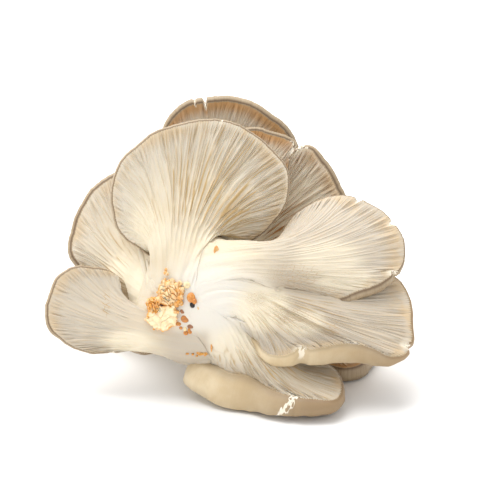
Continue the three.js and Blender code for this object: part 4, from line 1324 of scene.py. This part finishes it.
def mottle_effect():
    """Soft clouds and a fine dusting over the whole piece, from Object coordinates."""
    tree, nodes, given, wanted = effect(
        "mottle", {"Place": "NodeSocketVector"}, {"Clouds": "NodeSocketFloat", "Dust": "NodeSocketFloat"}
    )
    clouds = nodes.noise(given["Place"], 70.0, 4.0, 0.55)
    nodes.feed(wanted["Clouds"], nodes.spread(clouds, 0.3, 0.7))
    nodes.feed(wanted["Dust"], nodes.noise(given["Place"], 900.0, 3.0, 0.6))
    return tree


def crack_effect():
    """Short cracks across the gills: the joints of a wavering brick bond, CRACK_LENGTH apart along the
    gills, in courses of two gills."""
    tree, nodes, given, wanted = effect(
        "cracks", {"Course": "NodeSocketVector"}, {"Crack": "NodeSocketFloat"}
    )
    waver = nodes.add("ShaderNodeTexNoise")
    nodes.feed(waver.inputs["Vector"], given["Course"])
    waver.inputs["Scale"].default_value = 0.18
    shift = nodes.add("ShaderNodeVectorMath", operation="MULTIPLY_ADD")
    nodes.feed(shift.inputs[0], waver.outputs["Color"])
    shift.inputs[1].default_value = (4.0, 2.0, 0.0)
    nodes.feed(shift.inputs[2], given["Course"])
    brick = nodes.add("ShaderNodeTexBrick", offset=0.4, squash=1.0)
    nodes.feed(brick.inputs["Vector"], shift.outputs[0])
    sizes = {"Scale": CRACK_SCALE, "Mortar Size": 0.05, "Mortar Smooth": 0.7,
             "Brick Width": CRACK_SCALE * CRACK_LENGTH, "Row Height": 2 * CRACK_SCALE * GILL_PITCH}
    for key, value in sizes.items():
        brick.inputs[key].default_value = value
    nodes.feed(wanted["Crack"], brick.outputs["Fac"])
    return tree


def flesh_finish(effects):
    """Gills, stems and foot: white at the foot, cream on the gills' crests, and painted shade in brown down
    between them.
    """
    material, nodes, shader = finish(
        "flesh", Roughness=0.62, Subsurface_Weight=0.15, Subsurface_Radius=(0.003, 0.002, 0.0012),
        Subsurface_Scale=0.25, Specular_IOR_Level=0.25,
    )
    fibre = nodes.group(effects["fibres"], Grain=nodes.mark("grain", True), Fineness=1.1)["Fibre"]
    mottle = nodes.group(effects["mottle"], Place=nodes.place())
    lines = nodes.group(effects["cracks"], Course=nodes.mark("course", True))["Crack"]
    cracks = nodes.times(lines, nodes.mark("cracked"))
    reach, ripe_and_shade, white, pale = (nodes.mark(name) for name in ("reach", "ripe_and_shade", "white", "pale"))
    golden = nodes.times(nodes.spread(reach, 0.84, 0.98), nodes.spread(mottle["Clouds"], 0.2, 0.8, 0.05, 0.4))
    # Browner near the rim: partly the flesh's own browning and partly painted shade under the rim that rolls
    # inward.
    browned_and_shaded = nodes.times(ripe_and_shade, nodes.spread(reach, 0.84, 0.98, 0.12, 0.85))
    # Where the flesh is white, or under painted light, the painted shade in the gaps gives way.
    light = nodes.maths("MAXIMUM", white, nodes.times(pale, 0.6))
    # Painted shade down between the gills.
    gaps = nodes.times(nodes.spread(nodes.mark("gap"), 0.02, 0.6), nodes.maths("SUBTRACT", 1.0, light))
    colour = nodes.layers(
        nodes.blend(mottle["Clouds"], tone("#d2c6ae"), tone("#d6ccb8")),
        (nodes.spread(reach, 0.35, 0.95), tone("#d1c8b8")),
        # Partly a duller tone and partly painted shade.
        (nodes.mark("dim_and_shade"), tone("#bdb3a4")),
        (nodes.spread(fibre, 0.4, 0.75, 0.0, 0.3), tone("#d2b687")),
        (white, tone("#dcd7cd")),
        # Painted light, a lighter cream.
        (pale, tone("#e9dec6")),
        (golden, tone("#c7a56e")),
        # Partly the flesh's own browning and partly painted shade.
        (browned_and_shaded, tone("#b38247")),
        (nodes.times(cracks, 0.85), tone("#b89768")),
        # Painted shade in the gaps, browner where the flesh is browner.
        (gaps, nodes.blend(nodes.spread(ripe_and_shade, 0.0, 0.3), tone("#b59a6e"), tone("#96652f"))),
        (nodes.times(nodes.mark("bare"), 0.85), tone("#ebe3d2")),
    )
    nodes.feed(shader.inputs["Base Color"], colour)
    rough = nodes.plus(nodes.times(fibre, 0.5), nodes.times(mottle["Dust"], 0.4))
    rough = nodes.maths("SUBTRACT", rough, nodes.times(cracks, 0.8))
    nodes.feed(shader.inputs["Normal"], nodes.bump(rough, 0.0004, 0.5))
    return material


# Strands of flesh in a tear: [scale of a strand's waves, how far it sways, how thick it is], in mm.
TEAR_STRANDS = ((0.5, 1.2, 0.9), (0.22, 4.5, 0.5))


def tear_strands(nodes):
    """Wavering strands of torn flesh over the margin, where the distance `beside` the tear meets their
    waves."""
    grain = nodes.mark("grain", True)
    strands = 0.0
    for scale, sway, thick in TEAR_STRANDS:
        wave = nodes.spread(nodes.noise(grain, scale, 2.0), 0.25, 0.75, -sway, sway)
        apart = nodes.maths("ABSOLUTE", nodes.plus(nodes.mark("beside"), wave))
        strands = nodes.maths("MAXIMUM", strands, nodes.spread(apart, 0.6 * thick, 1.2 * thick, 1.0, 0.0))
    return nodes.times(strands, nodes.spread(nodes.mark("bare"), 0.08, 0.25))


def skin_finish(effects, name, light, dark, patch, streak, line, tan_and_shade):
    """The cap's skin: clouds from light to patch, fine radial fibres towards dark by the share `streak`, and
    a dark line, as strong as `line`, where it meets the gills, partly the skin's dark edge and partly
    painted shade where the margin turns under. It darkens by the share `tan_and_shade` where the piece's own
    mark says so, partly by its own tanning and partly by painted shade on the side away from the light."""
    material, nodes, shader = finish(
        name, Roughness=0.5, Subsurface_Weight=0.08, Subsurface_Radius=(0.003, 0.002, 0.001),
        Subsurface_Scale=0.4,
    )
    fibre = nodes.group(effects["fibres"], Grain=nodes.mark("grain", True), Fineness=1.6)["Fibre"]
    mottle = nodes.group(effects["mottle"], Place=nodes.place())
    colour = nodes.layers(
        nodes.blend(mottle["Clouds"], light, patch),
        (nodes.spread(fibre, 0.35, 0.75, 0.0, streak), dark),
        # Partly the skin's own tanning and partly painted shade.
        (nodes.times(nodes.mark("tan_and_shade"), tan_and_shade), tone("#8b7150")),
        # The dark line where the skin meets the gills: partly the skin's dark edge, partly painted shade
        # where the margin turns under.
        (nodes.spread(nodes.mark("edge"), 0.6, 0.97, 0.0, line), tone("#5d452d")),
        (tear_strands(nodes), tone("#efe6d4")),
    )
    nodes.feed(shader.inputs["Base Color"], colour)
    nodes.feed(shader.inputs["Normal"], nodes.bump(nodes.plus(fibre, mottle["Dust"]), 0.0002, 0.4))
    return material


def crust_finish(effects):
    """Dried spawn: cream to orange by the crumb's warmth, painted shade in brown down in the folds, with
    specks of mould.
    """
    material, nodes, shader = finish(
        "crust", Roughness=0.5, Subsurface_Weight=0.15, Subsurface_Radius=(0.003, 0.0015, 0.0007),
        Subsurface_Scale=0.4,
    )
    place = nodes.place()
    mottle = nodes.group(effects["mottle"], Place=place)
    patch = nodes.noise(place, 420.0, 3.0)
    warm = nodes.plus(nodes.mark("warmth"), nodes.spread(patch, 0.3, 0.7, -0.25, 0.3))
    speck = nodes.times(nodes.mark("mould"), nodes.spread(nodes.noise(place, 1300.0), 0.4, 0.6))
    colour = nodes.layers(
        tone("#f3e2bb"),
        (nodes.times(warm, 1.0, clamp=True), tone("#dc9a45")),
        # Painted shade down in the folds.
        (nodes.spread(nodes.mark("fold"), -0.2, -0.8, 0.0, 0.6), tone("#9a6428")),
        (speck, tone("#6d8c89")),
    )
    nodes.feed(shader.inputs["Base Color"], colour)
    nodes.feed(shader.inputs["Normal"], nodes.bump(nodes.plus(patch, mottle["Dust"]), 0.0006, 0.6))
    return material


def bud_finish(effects):
    """Buds: cream, orange, brown or black by their hue, with painted shade where they are pressed in, and a
    little glossy."""
    material, nodes, shader = finish(
        "bud", Roughness=0.35, Subsurface_Weight=0.1, Subsurface_Radius=(0.002, 0.001, 0.0005),
        Subsurface_Scale=0.4,
    )
    place = nodes.place()
    mottle = nodes.group(effects["mottle"], Place=place)
    patch = nodes.spread(nodes.noise(place, 900.0), 0.3, 0.7, -0.06, 0.06)
    ramp = nodes.add("ShaderNodeValToRGB")
    nodes.feed(ramp.inputs["Fac"], nodes.plus(nodes.mark("hue"), patch))
    stops = ramp.color_ramp.elements
    stops[0].position, stops[0].color = 0.0, tone("#efe2bf")
    stops[1].position, stops[1].color = 0.95, tone("#191714")
    for position, colour in ((0.2, "#e9cf98"), (0.45, "#cf8637"), (0.62, "#a8704a"), (0.75, "#86604a")):
        stops.new(position).color = tone(colour)
    # Painted shade in the pressed-in middle.
    pressed = nodes.spread(nodes.mark("fold"), 0.0, -1.0, 0.0, 0.5)
    colour = nodes.blend(pressed, ramp.outputs["Color"], tone("#2a2019"))
    nodes.feed(shader.inputs["Base Color"], colour)
    nodes.feed(shader.inputs["Normal"], nodes.bump(mottle["Dust"], 0.0003, 0.4))
    return material


def floor_finish():
    """A matt white floor, very slightly uneven in tone."""
    material, nodes, shader = finish("floor", Roughness=0.9)
    place = nodes.place()
    white = nodes.blend(nodes.noise(place, 3.0), [0.85, 0.85, 0.85, 1], [0.86, 0.86, 0.86, 1])
    nodes.feed(shader.inputs["Base Color"], white)
    return material


# ---- Stage ----

FLOOR_RADIUS = 6  # in metres
FLOOR_DEPTH = 0.0002  # how far the floor lies under the cluster, in metres
FLOOR_CORNERS = 64
DAYLIGHT = 0.99  # strength of the sky
SUN_STRENGTH = 3.7
SUN_WIDTH = math.radians(60)
SUN_WAY = (0.33, -0.42, -1.0)  # in which its light travels
LENS = 300
FILM_WIDTH = 36
FURTHEST_SEEN = 50  # in metres
AIM = (20.0, 25.0)  # on (u, v), in the plane w = 0
CAMERA_AWAY = 2000.0  # along w


def stage(finish_of_floor):
    """A wide light-coloured disc, soft daylight from the upper left and behind, and a long lens."""
    turn = 2 * math.pi * np.arange(FLOOR_CORNERS) / FLOOR_CORNERS
    rim = [FLOOR_RADIUS * np.cos(turn), FLOOR_RADIUS * np.sin(turn), np.full(FLOOR_CORNERS, -FLOOR_DEPTH)]
    disc = build("floor", np.stack(rim, 1), [np.arange(FLOOR_CORNERS)[None]], {}, [finish_of_floor])

    world = bpy.data.worlds.new("daylight")
    world.use_nodes = True
    sky = world.node_tree.nodes["Background"]
    sky.inputs["Color"].default_value = (1.0, 0.995, 0.985, 1)
    sky.inputs["Strength"].default_value = DAYLIGHT
    bpy.context.scene.world = world
    bpy.context.scene.view_settings.view_transform = "Standard"

    sun = bpy.data.lights.new("window", "SUN")
    sun.energy = SUN_STRENGTH
    sun.angle = SUN_WIDTH
    sun.color = (1.0, 0.99, 0.975)
    lamp = bpy.data.objects.new("window", sun)
    lamp.rotation_euler = Vector(SUN_WAY).to_track_quat("-Z", "Y").to_euler()
    bpy.context.scene.collection.objects.link(lamp)

    # The lens looks straight at the foot's face.
    camera = bpy.data.cameras.new("camera")
    camera.lens = LENS
    camera.sensor_width = FILM_WIDTH
    camera.clip_end = FURTHEST_SEEN
    aim, seen_from = (Vector(lay(np.array([*AIM, away]))) for away in (0.0, CAMERA_AWAY))
    eye = bpy.data.objects.new("camera", camera)
    eye.location = seen_from
    eye.rotation_euler = (aim - seen_from).to_track_quat("-Z", "Y").to_euler()
    bpy.context.scene.collection.objects.link(eye)
    bpy.context.scene.camera = eye


def main():
    """The whole cluster, piece by piece, and its stage."""
    effects = {"fibres": fibre_effect(), "mottle": mottle_effect(), "cracks": crack_effect()}
    flesh = flesh_finish(effects)
    taupe = [tone(code) for code in ("#ae9b7f", "#7e6a52", "#9c896d")]
    belly = [tone(code) for code in ("#d9c8a8", "#b89f79", "#cab48e")]
    skins = {
        "taupe": skin_finish(effects, "skin_taupe", *taupe, streak=0.55, line=0.75, tan_and_shade=0.0),
        "belly": skin_finish(effects, "skin_belly", *belly, streak=0.12, line=0.25, tan_and_shade=0.9),
    }
    limbs = [Limb(Meridians(m, 2 * m["gills"])) for m in MUSHROOMS] + [Lump(lump) for lump in FOOT_LUMPS]
    for number, m in enumerate(MUSHROOMS):
        Mushroom(m, number, limbs).piece([flesh, skins[m["skin"]]])
    foot_piece(limbs, flesh)
    strip_piece(flesh)
    crust_pieces(limbs, crust_finish(effects))
    bud_piece(limbs, bud_finish(effects))
    stage(floor_finish())


main()
